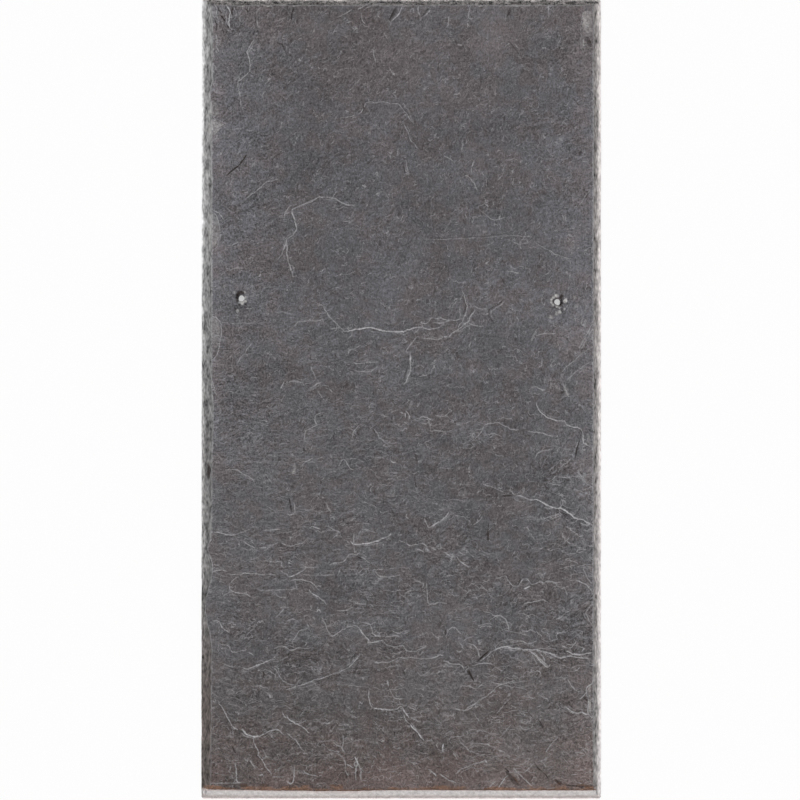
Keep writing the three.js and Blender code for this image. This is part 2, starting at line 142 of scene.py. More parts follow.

# Each scar: its low side, how pale its edge is (below 0 it is a crack, painted dark as the shade in its
# groove), its drop in mm, then the column and row of each of its points.
scars = [
    # head
    ("N", 0.55, 0.45, 340,118, 352,116, 361,112, 367,102, 376,102, 385,102, 391,104, 397,103, 400,105,
     404,110, 408,115, 412,121, 414,123),
    ("E", 0.6, 0.4, 404,122, 406,128, 409,134, 411,140, 415,145, 419,149),
    ("W", 0.6, 0.4, 254,39, 250,46, 247,52, 249,58, 250,64, 249,71, 246,75, 240,80, 238,82),
    ("W", -0.9, 0.2, 220.5,15.5, 223,18, 225,21),
    ("W", -0.6, 0.2, 217,6, 219,10, 222,13),
    ("W", -0.6, 0.15, 233,7, 231.5,11, 233,15),
    ("W", -0.6, 0.15, 215,20, 217,25, 216,31),
    ("W", -0.5, 0.12, 222,27, 224,33),
    ("W", 0.5, 0.12, 214.5,4, 217,9, 216,15, 219,20, 218,27),
    ("W", 0.36, 0.12, 222,7, 224.5,11, 223.5,15),
    ("W", 0.4, 0.1, 234,7, 236,12, 235,18),
    ("W", 0.42, 0.1, 215,34, 217.5,39, 216.5,46, 219,52),
    ("W", -0.7, 0.15, 227,24, 229,28),
    ("W", -0.5, 0.12, 254.5,16, 256,20, 255,24),
    ("W", 0.44, 0.1, 257,19, 258,25, 260,28),
    ("S", 0.4, 0.1, 256,14, 257,10, 260,8),
    ("W", 0.4, 0.08, 240,14, 240.2,21),
    ("W", -0.5, 0.1, 268,24, 270,27),
    ("W", 0.38, 0.1, 238,84, 239,92, 240,100, 241,107),
    ("S", -0.3, 0.08, 238,97, 232,104, 227,109),
    ("S", 0.42, 0.12, 338,17, 343,14.5, 348,12, 352,9),
    ("S", 0.54, 0.12, 358,9, 362,7, 366,4.5, 370,3.5),
    ("S", 0.42, 0.12, 364,10, 368,7, 374,5.5, 383,3),
    ("W", 0.4, 0.12, 361,13, 362,20, 365,24),
    ("W", 0.38, 0.08, 384.5,32, 385,35, 387,38),
    ("S", -0.5, 0.15, 429,8, 426,11, 423,15, 421,16.5),
    ("S", 0.42, 0.1, 430,10, 427,13, 424,16),
    ("W", 0.42, 0.1, 419,6, 417.5,9, 418.5,13, 420,16),
    ("W", 0.46, 0.1, 449,16, 448.5,21, 448,26),
    ("W", -0.4, 0.1, 447,17, 446.7,22),
    ("W", 0.5, 0.1, 469,12, 469.5,8, 472,5, 474,2.5),
    ("W", 0.45, 0.08, 468.5,13, 468.5,17, 470.5,19, 473,18),
    ("W", -0.9, 0.12, 470.8,15, 471.8,16.8),
    ("W", -0.6, 0.12, 476,9, 477,13),
    ("W", -0.6, 0.1, 552,8, 552.5,10),
    ("S", -0.5, 0.1, 510,42, 513,46, 517,51, 519,54),
    ("S", 0.5, 0.08, 515,44, 518,48),
    ("S", -0.4, 0.1, 502,55, 505,53, 508,53, 511,55),
    ("S", -0.6, 0.12, 277,43, 282,44, 285,51),
    ("E", -0.8, 0.15, 363,103, 364,111),
    ("W", 0.45, 0.12, 373,50, 374,57, 376,62),
    ("W", -0.5, 0.1, 387,56, 386,62),
    ("S", 0.4, 0.12, 389,67, 395,76),
    ("S", -0.9, 0.18, 247,154, 243,160, 238,166, 233,170, 227,175),
    ("S", -0.6, 0.1, 225,112, 221,117),
    ("W", -0.6, 0.12, 573,98, 579,105),
    ("W", 0.85, 0.3, 226,4, 228,8, 230,12, 229.5,16, 229,22, 229.5,27),
    ("W", -0.5, 0.3, 395,8, 393,13, 389,20),
    ("E", 0.75, 0.12, 402,7, 400,11, 398,15, 395,18, 392,21),
    ("W", -0.6, 0.2, 511,10, 509,13, 506.5,17),
    ("W", -0.8, 0.2, 294,8, 292,13, 291.5,20),
    ("W", -0.5, 0.12, 330,9, 329.5,15),
    ("W", -0.6, 0.12, 245,8, 247,10, 248.5,13),
    ("W", 0.48, 0.1, 549,5, 548.5,10, 549,14, 548,18),
    # shoulder
    ("S", 0.45, 0.2, 245,200, 250,196, 255,192, 262,186, 267,182, 278,179),
    ("W", -0.4, 0.1, 280,192, 277,196),
    ("W", 0.65, 0.45, 313,200, 308,202, 303,204, 295,208, 292,210, 293,215, 295,221, 297,226, 295,231,
     291,236, 287,239, 285,244, 283,250, 281,256, 278,259),
    ("W", 0.45, 0.15, 291,205, 288,208, 285,213, 284,218),
    ("W", 0.55, 0.2, 287,242, 287,253, 288,262, 290,266, 292,272, 293,277),
    ("S", 0.5, 0.15, 306,204, 312,201, 320,197, 330,198, 336,199, 342,203, 354,206),
    ("S", 0.52, 0.12, 213,210, 219,213, 224,220),
    ("S", 0.35, 0.12, 226,246, 232,245, 239,241),
    ("S", 0.35, 0.12, 343,221, 352,221),
    ("W", -0.6, 0.15, 403,162, 405,173),
    ("E", 0.4, 0.1, 406,160, 408,174),
    ("S", 0.35, 0.12, 444,156, 449,158, 453,161),
    ("W", 0.35, 0.12, 463,140, 462,152),
    ("S", 0.35, 0.15, 460,178, 468,176, 474,183, 477,190),
    ("W", 0.48, 0.12, 474,160, 472,168, 471,174),
    ("W", 0.35, 0.12, 504,167, 502,176, 498,180),
    ("S", 0.35, 0.15, 481,211, 486,215, 494,220, 505,217),
    ("N", 0.38, 0.35, 418,239, 442,239, 468,238, 484,237, 500,235.5, 516,235.5, 532,237),
    ("S", 0.35, 0.12, 513,242, 519,244, 528,243),
    ("N", 0.45, 0.35, 536,243, 545,248, 550,251, 555,254, 561,256, 567,258, 573,259),
    ("E", -0.5, 0.12, 540,250, 539,260),
    # middle
    ("S", 0.3, 0.12, 230,270, 236,268, 245,268),
    ("S", 0.85, 0.45, 343,331, 348,331.5, 354,330, 360,329, 365,327.5, 371,327.5, 376,329, 381,330.5,
     388,331, 395,331.5, 404,331.5, 408,329.5, 412,328.7, 417,327.5, 423,326.5),
    ("W", 0.42, 0.15, 316,305, 321,305, 324,308, 327,313, 330,318, 334,322, 338,326, 343,330),
    ("S", 0.44, 0.1, 331,329, 335,328, 340,328),
    ("S", 0.36, 0.1, 290,331, 294,326, 298,322, 304,322, 310,320.5, 318,320.5, 323,318.5),
    ("S", 0.32, 0.1, 222,322, 236,323, 250,323, 262,322.5),
    ("S", 0.32, 0.1, 274,312, 277,312.5, 282,311.5, 286,313, 291,314),
    ("S", 0.48, 0.15, 420,322, 423,323.5, 427,323, 430,320.5, 432,317.5),
    ("S", 0.42, 0.1, 433,322.5, 440,323, 445,321.5, 450,321),
    ("S", 0.5, 0.15, 435,318, 441,318.5, 446,320, 455,320.5, 460,319),
    ("S", 0.5, 0.12, 424,328, 428,329, 436,328.5, 440,327),
    ("W", 0.6, 0.35, 462,290, 464,296, 466,303, 467,306, 466,311, 465,315, 463,320, 460,324, 458,328),
    ("W", -0.45, 0.15, 464,299, 465.5,304, 465,309, 463.5,314),
    ("W", 0.34, 0.08, 459,311, 461,314, 460,318),
    ("W", 0.62, 0.3, 475,309, 473,313, 470,317, 469,321, 465,323, 461,327, 457,330, 453,333, 449,336.5,
     444,336.5, 441,336),
    ("W", -0.55, 0.15, 472.5,309, 471,313, 468,317),
    ("S", 0.36, 0.12, 474,306, 478,308, 483,309, 487,309),
    ("W", -0.5, 0.2, 504,299, 499,304, 493,307, 489,310, 489,316, 492,320, 494,323),
    ("E", 0.36, 0.1, 505,301, 500,305, 494,309, 491,311, 490.5,316, 493,319),
    ("S", 0.38, 0.12, 469,323, 473,325, 478,326, 484,326),
    ("S", 0.46, 0.15, 422,338, 430,339, 436,340, 440,339, 444,336.5),
    ("W", 0.46, 0.2, 418,336, 415,339, 411,344, 407,349, 406,352),
    ("W", 0.85, 0.45, 410,352, 410.5,360, 410.5,368, 409,374, 407,379, 404,384),
    ("W", -0.5, 0.2, 407,368, 405.5,374, 403.5,380),
    ("S", 0.38, 0.12, 348,354, 350,350, 354,349, 358,347, 361,345),
    ("S", 0.46, 0.15, 352,363, 360,363.5, 368,362.5, 378,362),
    ("S", 0.36, 0.12, 354,370, 360,371.5, 366,372, 371,371, 375,368.5),
    ("W", 0.78, 0.12, 281,388, 283,384, 284,382),
    ("S", 0.4, 0.1, 286,385, 291,381, 297,381, 303,383),
    ("W", 0.34, 0.1, 311,366, 312,371, 315,376, 316,379),
    ("S", 0.4, 0.1, 310,388, 314,386, 318,383, 322,382),
    ("W", 0.36, 0.1, 318,391, 322,396, 325,401),
    ("W", 0.36, 0.1, 237,364, 240,358, 244,354, 247,349, 250,346, 252,342),
    ("W", 0.3, 0.08, 238,332, 240,328, 243,326),
    ("W", -0.4, 0.1, 286,302, 289,304),
    ("W", -0.85, 0.2, 335,353, 336,357),
    ("E", 0.4, 0.05, 338,352, 338,357),
    ("S", 0.4, 0.1, 507,271, 513,272, 519,273),
    ("W", -0.4, 0.1, 500,276, 505,284),
    ("W", -0.5, 0.12, 501,375, 505,382),
    ("W", -0.4, 0.1, 543,364, 541,371),
    ("S", 0.46, 0.12, 536,335.5, 544,333.5, 557,333),
    ("S", 0.48, 0.12, 531,387, 537,387.5, 541,389, 545,390),
    ("W", 0.4, 0.15, 563,384, 566,390, 569,397),
    # waist
    ("S", 0.42, 0.15, 228,470, 233,469.5, 237,470, 241,472, 245,474, 249,477, 253,479.5, 255,485),
    ("W", 0.42, 0.12, 324,412, 317,414, 315,417, 315,422, 317,425, 312,427, 308,429, 305,431, 304.5,437,
     304,440, 307,441.5),
    ("S", 0.34, 0.1, 241,438, 246,436, 250,433, 252,432),
    ("S", 0.34, 0.1, 255,443, 259,440, 263,436),
    ("S", 0.48, 0.12, 302,466, 305,462, 309,460, 313,458),
    ("S", 0.34, 0.08, 329,472, 336,472),
    ("W", -0.8, 0.15, 334,435, 334,439.5),
    ("W", -0.6, 0.12, 304,448, 304,452),
    ("W", -0.55, 0.12, 309,492, 311,492),
    ("W", -0.75, 0.3, 289,498, 290,503, 291,508, 291.5,511),
    ("W", 0.42, 0.08, 294,500, 294.5,506, 295,512),
    ("S", 0.5, 0.1, 287,514, 290,515.5, 296,514),
    ("W", -0.6, 0.12, 324,502, 325,507),
    ("W", 0.4, 0.08, 326,503, 328,508, 331,512),
    ("W", 0.7, 0.12, 405,413, 405.5,417.5),
    ("W", 0.58, 0.12, 406,411, 408,414, 410,419),
    ("S", 0.48, 0.15, 420,418, 423,416, 427,417.5, 431,420),
    ("S", 0.4, 0.1, 421,423, 425,424, 428,422.5, 430,425, 432,423),
    ("S", 0.4, 0.12, 427,419, 430,424, 430,431, 436,430.5, 442,431, 446,434),
    ("S", 0.32, 0.08, 379,414.5, 389,417),
    ("S", 0.36, 0.1, 435,415, 440,416, 447,415),
    ("W", 0.42, 0.2, 351,440, 353,433, 356,429, 358,426, 362,424),
    ("W", -0.5, 0.12, 357,431, 358,434.5),
    ("W", -0.6, 0.12, 373,428, 375,434),
    ("S", 0.44, 0.1, 374,429, 377,433, 380,437, 383,440, 385,442),
    ("W", -0.7, 0.12, 401,433, 401.5,436),
    ("W", -0.55, 0.12, 413,448, 415,453, 416.5,461),
    ("W", -0.5, 0.12, 401.5,461, 403,457),
    ("S", 0.6, 0.08, 391,460.5, 393,462.5, 396,462.5),
    ("W", -0.5, 0.12, 426.5,461, 427,465, 429,466),
    ("W", -0.6, 0.12, 414.5,475, 415,480, 416.5,488),
    ("S", 0.42, 0.15, 339,466, 341,461, 344,459, 346,461, 348,465, 351,469, 354,470),
    ("S", 0.36, 0.1, 350,459, 355,458.5, 360,461, 364,462),
    ("S", 0.32, 0.08, 365,456, 372,457, 384,457),
    ("S", 0.46, 0.3, 475,439, 478,436, 481,432, 484,426, 488,424, 494,423, 499,422.5, 502,424, 504,425,
     508,427, 511,429, 515,429.5, 520,430),
    ("S", 0.46, 0.15, 528,431, 533,432, 540,432.5, 545,433.5, 548,435.5, 553,436),
    ("S", 0.62, 0.4, 536,402, 537,407, 540,411, 544,415, 548,418, 553,419, 559,420.5, 565,421, 566,424,
     569,426, 574,427.5, 578,427, 581,429, 583,433, 583,438, 584,443, 587,445, 590,447),
    ("W", -0.65, 0.25, 581,434, 579,442, 577,448, 575.5,458),
    ("W", 0.36, 0.08, 579,440, 576.5,446, 575,452),
    ("S", 0.4, 0.12, 553,449, 546,450, 541,451.5, 537,455, 535,458),
    ("S", 0.38, 0.12, 571,458, 567,462, 563,465, 560,469, 558,473),
    ("W", -0.6, 0.1, 558,474, 558,481),
    ("W", -0.45, 0.12, 544,483, 546,487, 549,489),
    ("S", 0.42, 0.12, 483,484, 490,486, 496,489, 503,492),
    ("S", 0.44, 0.2, 510,490, 513,493, 517,496, 521,496, 525,498, 530,500),
    ("S", 1.0, 0.5, 530,500, 535,500, 539,501, 543,503, 547,505, 552,507, 557,508, 561,508, 564,510,
     568,512.5, 571,515, 574,517.5, 580,519.5, 585,521, 589,523, 592,525),
    # a dark line painted as the shadow below the scar above
    ("S", -0.5, 0.12, 559,511.5, 564,513.5, 568,515.5),
    ("S", -0.6, 0.12, 468,497, 475,497),
    ("S", -0.35, 0.08, 478,497, 500,496),
    ("S", -0.75, 0.15, 501,496, 506,496, 512,495.5),
    ("S", 0.36, 0.1, 577,472, 582,476, 587,482, 591,485),
    ("S", 0.4, 0.1, 583,490, 588,488, 592,486),
    # apron
    ("W", 0.6, 0.2, 424.5,519, 426.5,523, 428,527),
    ("N", 0.8, 0.35, 429.5,527.5, 434,524.5, 440,521.5, 445,517, 449,512),
    ("W", -0.8, 0.15, 425,531, 427,534),
    ("W", 0.6, 0.1, 407,514, 406.5,517, 409,519),
    ("S", 0.36, 0.1, 450,511, 454,514, 459,517),
    ("S", -0.4, 0.2, 440,535, 444,532, 450,528),
    ("S", 0.36, 0.12, 473,525, 476,523, 480,520, 482,517),
    ("W", -0.7, 0.15, 488.5,524, 488,531),
    ("W", -1.0, 0.25, 488,531, 488,541),
    ("S", 0.4, 0.1, 499,528, 502,526),
    ("S", 0.42, 0.1, 541,516, 542,519, 546,518, 552,516, 558,515),
    ("W", 0.5, 0.08, 562,532, 564,537, 567,541, 570,544, 573,544),
    ("W", 0.44, 0.05, 569,538, 566,541, 563,544),
    ("W", 0.42, 0.1, 530,533, 532,537, 534,539),
    ("W", 0.36, 0.08, 536,537, 538,540.5),
    ("S", 0.6, 0.2, 214.5,532.5, 219,532.5, 222.5,534, 226.5,535.5, 231,535.5, 236,534.5),
    ("S", 0.36, 0.1, 236,534.5, 241,533, 246,531, 250,529),
    ("S", 0.36, 0.08, 262,531, 268,530, 274,530, 280,529),
    ("S", 0.34, 0.08, 250,527, 258,528),
    ("W", 0.6, 0.08, 239,542, 239.5,546),
    ("S", 0.52, 0.15, 243,541, 246,544, 250,545.5, 254,546.5, 257,548),
    ("S", 0.5, 0.12, 260,548, 264,548.5, 268,549),
    ("S", 0.32, 0.08, 268,546, 272,545, 276,543, 279,542),
    ("S", 0.38, 0.12, 281,543, 286,545.5, 291,546, 296,545, 300,544, 303,543, 305,541),
    ("S", -0.5, 0.1, 287,550.5, 292,551, 296,550.5),
    ("S", 0.42, 0.12, 265,561, 270,561, 275,562, 281,561, 281,565, 284,568),
    ("S", 0.5, 0.1, 281,571, 283,573, 286,574, 289,577),
    ("S", 0.6, 0.2, 289,577, 293,575.3, 297,574, 301,572, 304,570),
    ("S", 0.36, 0.1, 303,567.5, 308,566.5, 312,568, 318,567),
    ("S", 0.5, 0.15, 212,572, 217,571, 222,570, 227,571.5),
    ("S", 0.4, 0.12, 228,574, 234,575, 240,574, 246,573, 252,573.5, 258,574, 264,574.5, 278,574.5),
    ("S", 0.3, 0.08, 300,575, 315,575, 330,575),
    ("S", 0.46, 0.2, 288,581, 294,579.5, 300,579.5, 306,581, 311,582, 315,586, 319,590),
    ("W", 0.34, 0.08, 295,581, 296,585, 296.5,588),
    ("S", 0.6, 0.25, 309,590, 313,593.5, 317,596.5, 321,599, 324,601, 326,604),
    ("W", 0.7, 0.08, 317,612, 318.7,609.5, 320.5,612),
    ("W", 0.46, 0.1, 229.5,585, 230,590),
    ("S", 0.5, 0.15, 230,590, 233,591, 238,592.5, 243,593.5, 248,594.5, 250,596.5),
    ("W", -0.6, 0.12, 251,594, 251.5,596),
    ("S", 0.38, 0.12, 229,584, 233,581, 236,578, 239,577),
    ("S", 0.34, 0.1, 231,591, 226,594, 222,597),
    ("S", 0.3, 0.08, 251,588, 256,589, 262,590, 275,590, 288,590, 300,589),
    ("S", 0.48, 0.1, 279.5,597.5, 286,598),
    ("S", 0.36, 0.1, 272,594, 275,592, 277,595, 280,597),
    ("W", 0.7, 0.05, 234.5,606, 235,608),
    ("S", 0.4, 0.08, 280,608, 285,607.5, 289,608),
    ("S", 0.34, 0.08, 275,618, 280,613, 284,609),
    ("S", 0.66, 0.12, 310,527.5, 313,526.5, 317,528, 319.5,529),
    ("S", 0.4, 0.1, 325,526, 328,526, 331,528, 336,530, 340,532),
    ("S", 0.36, 0.1, 332,539, 335,536, 338,535),
    ("S", 0.32, 0.1, 320,573, 322,575, 326,575, 332,575, 335,575),
    ("W", -0.7, 0.1, 336,574.5, 336,577.5),
    ("S", 0.95, 0.35, 351,542, 353,544, 357,544.7, 363,543.7, 369,543, 375,541.5, 380,540),
    ("S", 0.6, 0.25, 380,540, 384,538.5, 388,536, 391,534),
    ("W", 0.34, 0.1, 354,532, 354,540, 354.5,548, 355,553),
    ("S", 0.5, 0.2, 330,565, 334,563, 341,562.5, 345,560, 348,556.5, 352,554, 356,555, 359,553),
    ("S", -0.85, 0.25, 356.5,556.5, 359,557.5, 361.5,558.5),
    ("S", 0.46, 0.12, 361,557, 364,558, 367,561, 370,563),
    ("S", 0.5, 0.12, 376,572, 379,575.5, 383,577, 388,577.2, 393,576, 400,575),
    ("S", -0.4, 0.1, 409,576.5, 417,576.5),
    ("S", 0.4, 0.1, 365,531, 369,531, 373,532, 376,533),
    ("S", 0.5, 0.2, 399.5,540.5, 404,541.5, 408,544, 411,546, 416,544, 419,545),
    ("S", 0.5, 0.12, 415,549, 420,550, 424,552.5),
    ("S", 0.48, 0.15, 421,543, 425,544, 428,547, 431,547, 434,549, 436,550),
    ("S", 0.56, 0.2, 444,552, 447,554.5, 450,557, 455,557.7, 457,557, 459,560, 462,563, 465,565, 468,567,
     471,567),
    ("S", 0.42, 0.1, 459,552, 462,554, 466,554),
    ("S", 0.36, 0.1, 465,550, 470,554, 474,557),
    ("W", 0.42, 0.15, 426,583, 427,588, 427,594, 427.5,600, 429,604, 434,604, 438,602.5, 443,603, 447,604),
    ("S", 0.4, 0.1, 415,581, 419,581, 421,583, 424,584, 422,588),
    ("S", 0.36, 0.1, 405,593, 410,591, 414,590),
    ("S", 0.34, 0.1, 400,594, 404,597, 408,599, 410,602),
    ("S", 0.55, 0.08, 356,604, 360,604, 366,604),
    ("S", 0.44, 0.12, 336,611, 341,611, 346,610, 351,608, 353,607),
    ("S", 0.4, 0.08, 443,571, 447,571.5),
    ("N", 0.62, 0.4, 496,578, 500,577.5, 503,576, 506,576, 508,580, 510,583, 513,585.5, 517,586, 519,585,
     521,582, 523,579, 527,578.5, 530,582, 532,584, 536,583, 540,581.5, 544,583, 547,581, 552,581.5,
     557,582.5, 560,582),
    ("W", -0.6, 0.15, 505,571, 503,574),
    ("E", -0.9, 0.2, 520.5,579, 518.5,584),
    ("S", 0.9, 0.1, 524,588.5, 527,588, 530,586.5),
    ("S", 0.5, 0.3, 570,581, 575,580, 579,581, 583,583, 587,585, 590,589, 592,593),
    ("W", 0.38, 0.1, 564,587, 566,590, 567,595),
    ("S", 0.28, 0.1, 536,575, 540,573, 543,575, 546,572),
    ("S", 0.44, 0.15, 524,604, 528,603, 533,602, 538,601, 543,600, 547,602, 550,604),
    ("S", 0.4, 0.12, 556,620, 561,617, 565,614, 569,611, 572,608),
    ("S", 0.36, 0.08, 480,588, 482,586.5, 485,589, 487,591),
    ("S", 0.36, 0.1, 472,598, 478,597, 483,594),
    ("S", 0.56, 0.2, 213,621, 217,620.5, 219,622, 221,625.5, 224,629, 227,631.5, 229,632.5),
    ("S", 0.34, 0.1, 246,637, 248,634, 251,631, 254,629),
    ("S", 0.38, 0.15, 219,643, 222,645, 226,645, 228,646, 230,649, 233,651.5, 239,651, 244,650, 247,649.5),
    ("W", 0.6, 0.08, 248,652, 251,653.5, 253,655),
    ("S", 0.56, 0.15, 274,648.5, 277,647.5, 280,646.5, 284,647, 287,648, 290,650, 295,649.5, 298,648.5,
     301,647.5),
    ("S", 0.3, 0.1, 284,624, 288,620.5, 293,620, 298,621),
    ("S", 0.36, 0.12, 292,642, 295,637, 297,633, 300,630.5, 306,629.5),
    ("W", 0.6, 0.06, 293,644, 293.3,646),
    ("W", 0.6, 0.08, 307,624, 309,627),
    ("N", 0.56, 0.25, 322,620, 325,625, 327,630, 329,633, 332,636, 336,634, 340,631, 344,629, 348,627,
     352,626, 357,626, 359,628),
    ("N", 0.9, 0.3, 359,628, 361,630, 363,633, 366,637, 369,641),
    ("N", 0.75, 0.3, 369,642.5, 375,642, 380,640.5, 383,640),
    ("N", 0.55, 0.3, 383,640, 385,643, 388,645, 392,646.5, 396,647, 400,646, 403,645.5, 405,648, 408,651,
     412,652, 416,651.5, 419,649, 423,648, 426,646),
    ("S", 0.5, 0.15, 365,623, 369,624, 371,626, 372.5,630, 373,633, 377,636, 381,636),
    ("S", 0.4, 0.12, 385,638, 390,637, 395,636, 400,636.5),
    ("S", 0.4, 0.12, 391,630, 395,632, 400,633, 404,631, 409,630),
    ("S", 0.36, 0.08, 404,633.5, 409,631.7),
    ("W", -0.85, 0.2, 446,630, 445,634.5),
    ("E", 0.44, 0.15, 446,636, 448,632, 449,629, 452,627.5, 456,628.5, 459,632, 461,634),
    ("S", 0.34, 0.1, 431,632, 434,635, 438,637, 443,636.5),
    ("S", 0.5, 0.2, 374,662, 378,663, 382,662.5, 388,662.5, 391,661.5, 395,659.5, 399,657.5),
    ("S", 0.38, 0.15, 399,657.5, 405,658, 412,658, 418,658.5, 432,659),
    ("S", 0.6, 0.2, 430,659, 436,657.5, 439,656, 441,655, 443,656),
    ("S", 0.5, 0.12, 443,661, 447,662, 450,664, 455,664, 459,664, 462,666, 464,669),
    ("S", 0.48, 0.1, 456,650, 459,652, 462,650),
    ("S", 0.36, 0.1, 463,641, 467,638, 473,636),
    ("W", 0.54, 0.15, 470,644, 474,645, 476,647, 478,650, 479,654, 480,657),
    ("N", -1.0, 0.35, 477.5,661.5, 480,659, 483,656, 486,653.5, 489,651),
    ("S", 0.44, 0.15, 480,661.5, 484,658.5, 488,655.5, 493,651),
    ("N", 1.0, 0.5, 493,651, 498,648.5, 503,647, 508,646.5, 512,648, 516,648, 520,648, 525,649.5, 529,649,
     533,649.5, 538,650, 543,651, 548,652.5, 553,654, 557,655),
    ("S", 0.6, 0.2, 551,654.5, 555,656, 561,658, 567,656.5, 573,656, 580,658, 588,658.5),
    ("S", 0.85, 0.25, 566,651, 569,652, 573,654, 578,654.5, 584,653.5, 590,653),
    ("S", 0.66, 0.25, 529,650.5, 531,652, 533,654, 537,657, 540,661, 543,664, 546,667, 548,667, 550,665),
    ("S", 0.5, 0.1, 533,652, 537,655, 541,659, 545,663, 548,666),
    ("S", 0.52, 0.1, 540,653, 543,657, 545,661),
    ("S", 0.46, 0.15, 510,642, 515,642, 519,641, 523,641, 527,643, 533,643, 537,641),
    ("S", 0.46, 0.15, 491,620, 495,617, 499,615.5, 503,617, 506,620, 508,625, 509,630),
    ("W", 0.7, 0.05, 500,618, 500.2,620),
    ("S", 0.44, 0.12, 473,666, 477,664, 484,663.3, 489,664, 494,664),
    ("S", 0.5, 0.1, 495,667, 499,669, 502,671),
    ("S", 0.4, 0.1, 522,663, 527,662, 531,661),
    ("S", 0.56, 0.12, 562,645, 566,647.5, 570,648, 573,645.5, 576,642),
    ("W", -0.5, 0.1, 589,629, 590.5,637),
    # tail
    ("S", 0.28, 0.12, 222,663, 226,664.5, 230,666, 236,667),
    ("S", 0.6, 0.2, 243,668, 247,669, 251,667.7, 254,667, 258,665, 262,663.5, 266,662, 271,660, 275,660),
    ("W", 0.95, 0.05, 270.5,659.5, 271.7,660.5),
    ("S", 0.34, 0.1, 281,660, 285,658, 288,657),
    ("W", 0.6, 0.05, 288,663.5, 288.5,665),
    ("S", 0.4, 0.12, 265,669, 269,671, 272,674),
    ("N", 0.5, 0.25, 272,667, 276,670, 278,673, 280,677, 282,680, 286,682.5, 289,684, 295,685),
    ("N", 0.7, 0.4, 286,690, 292,688, 297,686, 302,685, 306,684, 309,682, 313,680, 318,679, 323,678,
     328,676),
    ("N", 0.6, 0.4, 328,676, 333,674, 337,673, 342,670.7, 347,668, 351,665, 355,661, 358,657, 360,654.5,
     363,655),
    ("W", -0.7, 0.15, 263,671, 264,675, 262,679),
    ("W", -0.6, 0.1, 251,660.5, 251,664),
    ("W", -0.6, 0.1, 214,687, 214.5,690),
    ("S", -0.6, 0.12, 235,696, 238,698),
    ("W", -0.6, 0.1, 248,696, 248.5,698.5),
    ("S", 0.32, 0.15, 255,686.5, 258,686, 263,687.5, 268,688),
    ("W", -0.8, 0.15, 403,670, 405,675.5),
    ("E", -0.9, 0.3, 469,671, 471,676, 474,681),
    ("W", 0.56, 0.08, 387.5,681, 388.5,686),
    ("W", 0.54, 0.15, 369,690, 368.5,697, 370,703, 372,708),
    ("S", 0.36, 0.1, 418,672, 421,676, 426,674, 430,670),
    ("S", 0.36, 0.1, 424,676, 430,674, 434,672),
    ("S", 0.32, 0.08, 443,677, 450,679),
    ("S", 0.3, 0.08, 390,689, 392,694, 396,698, 402,699),
    ("S", 0.5, 0.3, 465,710, 470,707, 476,704, 480,700, 486,697, 491,693, 496,688, 500,685, 505,684,
     510,682, 514,681),
    ("S", 0.36, 0.12, 520,688, 527,690),
    ("S", 0.42, 0.12, 568,680, 571,685, 575,690, 579,692),
    ("S", 0.44, 0.15, 580,699, 584,695, 588,690, 590,687),
    ("S", 0.34, 0.1, 556,678, 562,677, 565,680),
    ("S", 0.55, 0.3, 218.5,701, 220,705, 223,709, 225,713, 227,716.5, 230,721, 232,725, 235,728, 238,730),
    ("S", 0.95, 0.45, 242,729, 244,732, 246,734.5, 249,735.5, 254,736, 259,736, 263,734.5),
    ("S", 0.7, 0.4, 263,734.5, 266,732.5, 270,731, 275,730, 278,730, 281,732.5, 284,735),
    ("S", 0.42, 0.15, 288,734, 292,738, 296,740, 299,744, 301,748, 304,751),
    ("W", 0.5, 0.12, 282,711, 284,716, 286,718),
    ("S", 0.66, 0.35, 287,716, 289,719.5, 291,721, 294,723, 298,725, 302,726.5),
    ("S", 0.6, 0.2, 302,726.5, 305,729, 307,732, 309,733),
    ("W", 0.55, 0.25, 253,738, 254.5,743, 256,747, 258,751, 258,755, 261,759, 263,762, 265,766, 268,770,
     271,774),
    ("W", 0.36, 0.1, 263,750, 266,755, 268,758),
    ("W", 0.5, 0.1, 250,760, 252,764, 255,768),
    ("W", 0.6, 0.25, 235,764, 236,769, 236.5,775, 237,781, 239,783, 241,782.5),
    ("W", 0.54, 0.08, 231,765, 230,770),
    ("W", 0.6, 0.2, 294,766, 295,771, 294.5,777, 293,782, 290,784, 287,782),
    ("S", 0.42, 0.1, 272,777, 278,777, 284,777),
    ("W", 0.6, 0.06, 286.5,781, 288.5,782.5),
    ("S", 0.42, 0.12, 303,770, 306,773, 311,775, 316,775.5, 318,777),
    ("S", 0.36, 0.1, 322,722, 326,724, 330,723, 333,720),
    ("S", 0.36, 0.15, 333,742, 336,743.5, 340,746.5, 343,749),
    ("S", 0.4, 0.12, 328,749.5, 335,751.5, 340,752),
    ("W", -0.8, 0.15, 232,746, 234,750, 236,754),
    ("W", -0.45, 0.1, 241,742, 244,745, 246,747),
    ("S", 0.85, 0.35, 373,708, 378,708.5, 382,709, 386,709.5, 390,710, 394,710),
    ("S", 0.46, 0.25, 394,710, 397,709, 399,707, 401,706, 403,708),
    ("W", 0.8, 0.25, 403,708, 404,711, 406,714.5, 409,718),
    ("W", 0.88, 0.4, 410,724, 413,727, 416,731, 419,735, 421,738, 424,740.5),
    ("W", 0.46, 0.15, 404,715, 406,720, 408,723, 411,724.5),
    ("S", 0.44, 0.12, 407,707, 411,708, 414,710, 416,710),
    ("S", 0.36, 0.1, 410,717, 414,719, 418,721, 421,721),
    ("W", 0.38, 0.12, 343,735, 343.5,742, 342,748, 345,753),
    ("W", 0.85, 0.2, 355,757, 357,761, 359,765),
    ("W", 0.46, 0.15, 359,765, 360,770, 361,776),
    ("W", 0.6, 0.15, 358.5,763, 356,768, 355,774, 356,780),
    ("W", 0.75, 0.12, 347,764, 350,766, 353,768),
    ("W", 0.9, 0.12, 443.5,744, 443,748, 443,752),
    ("W", 0.4, 0.08, 444,757, 443,760),
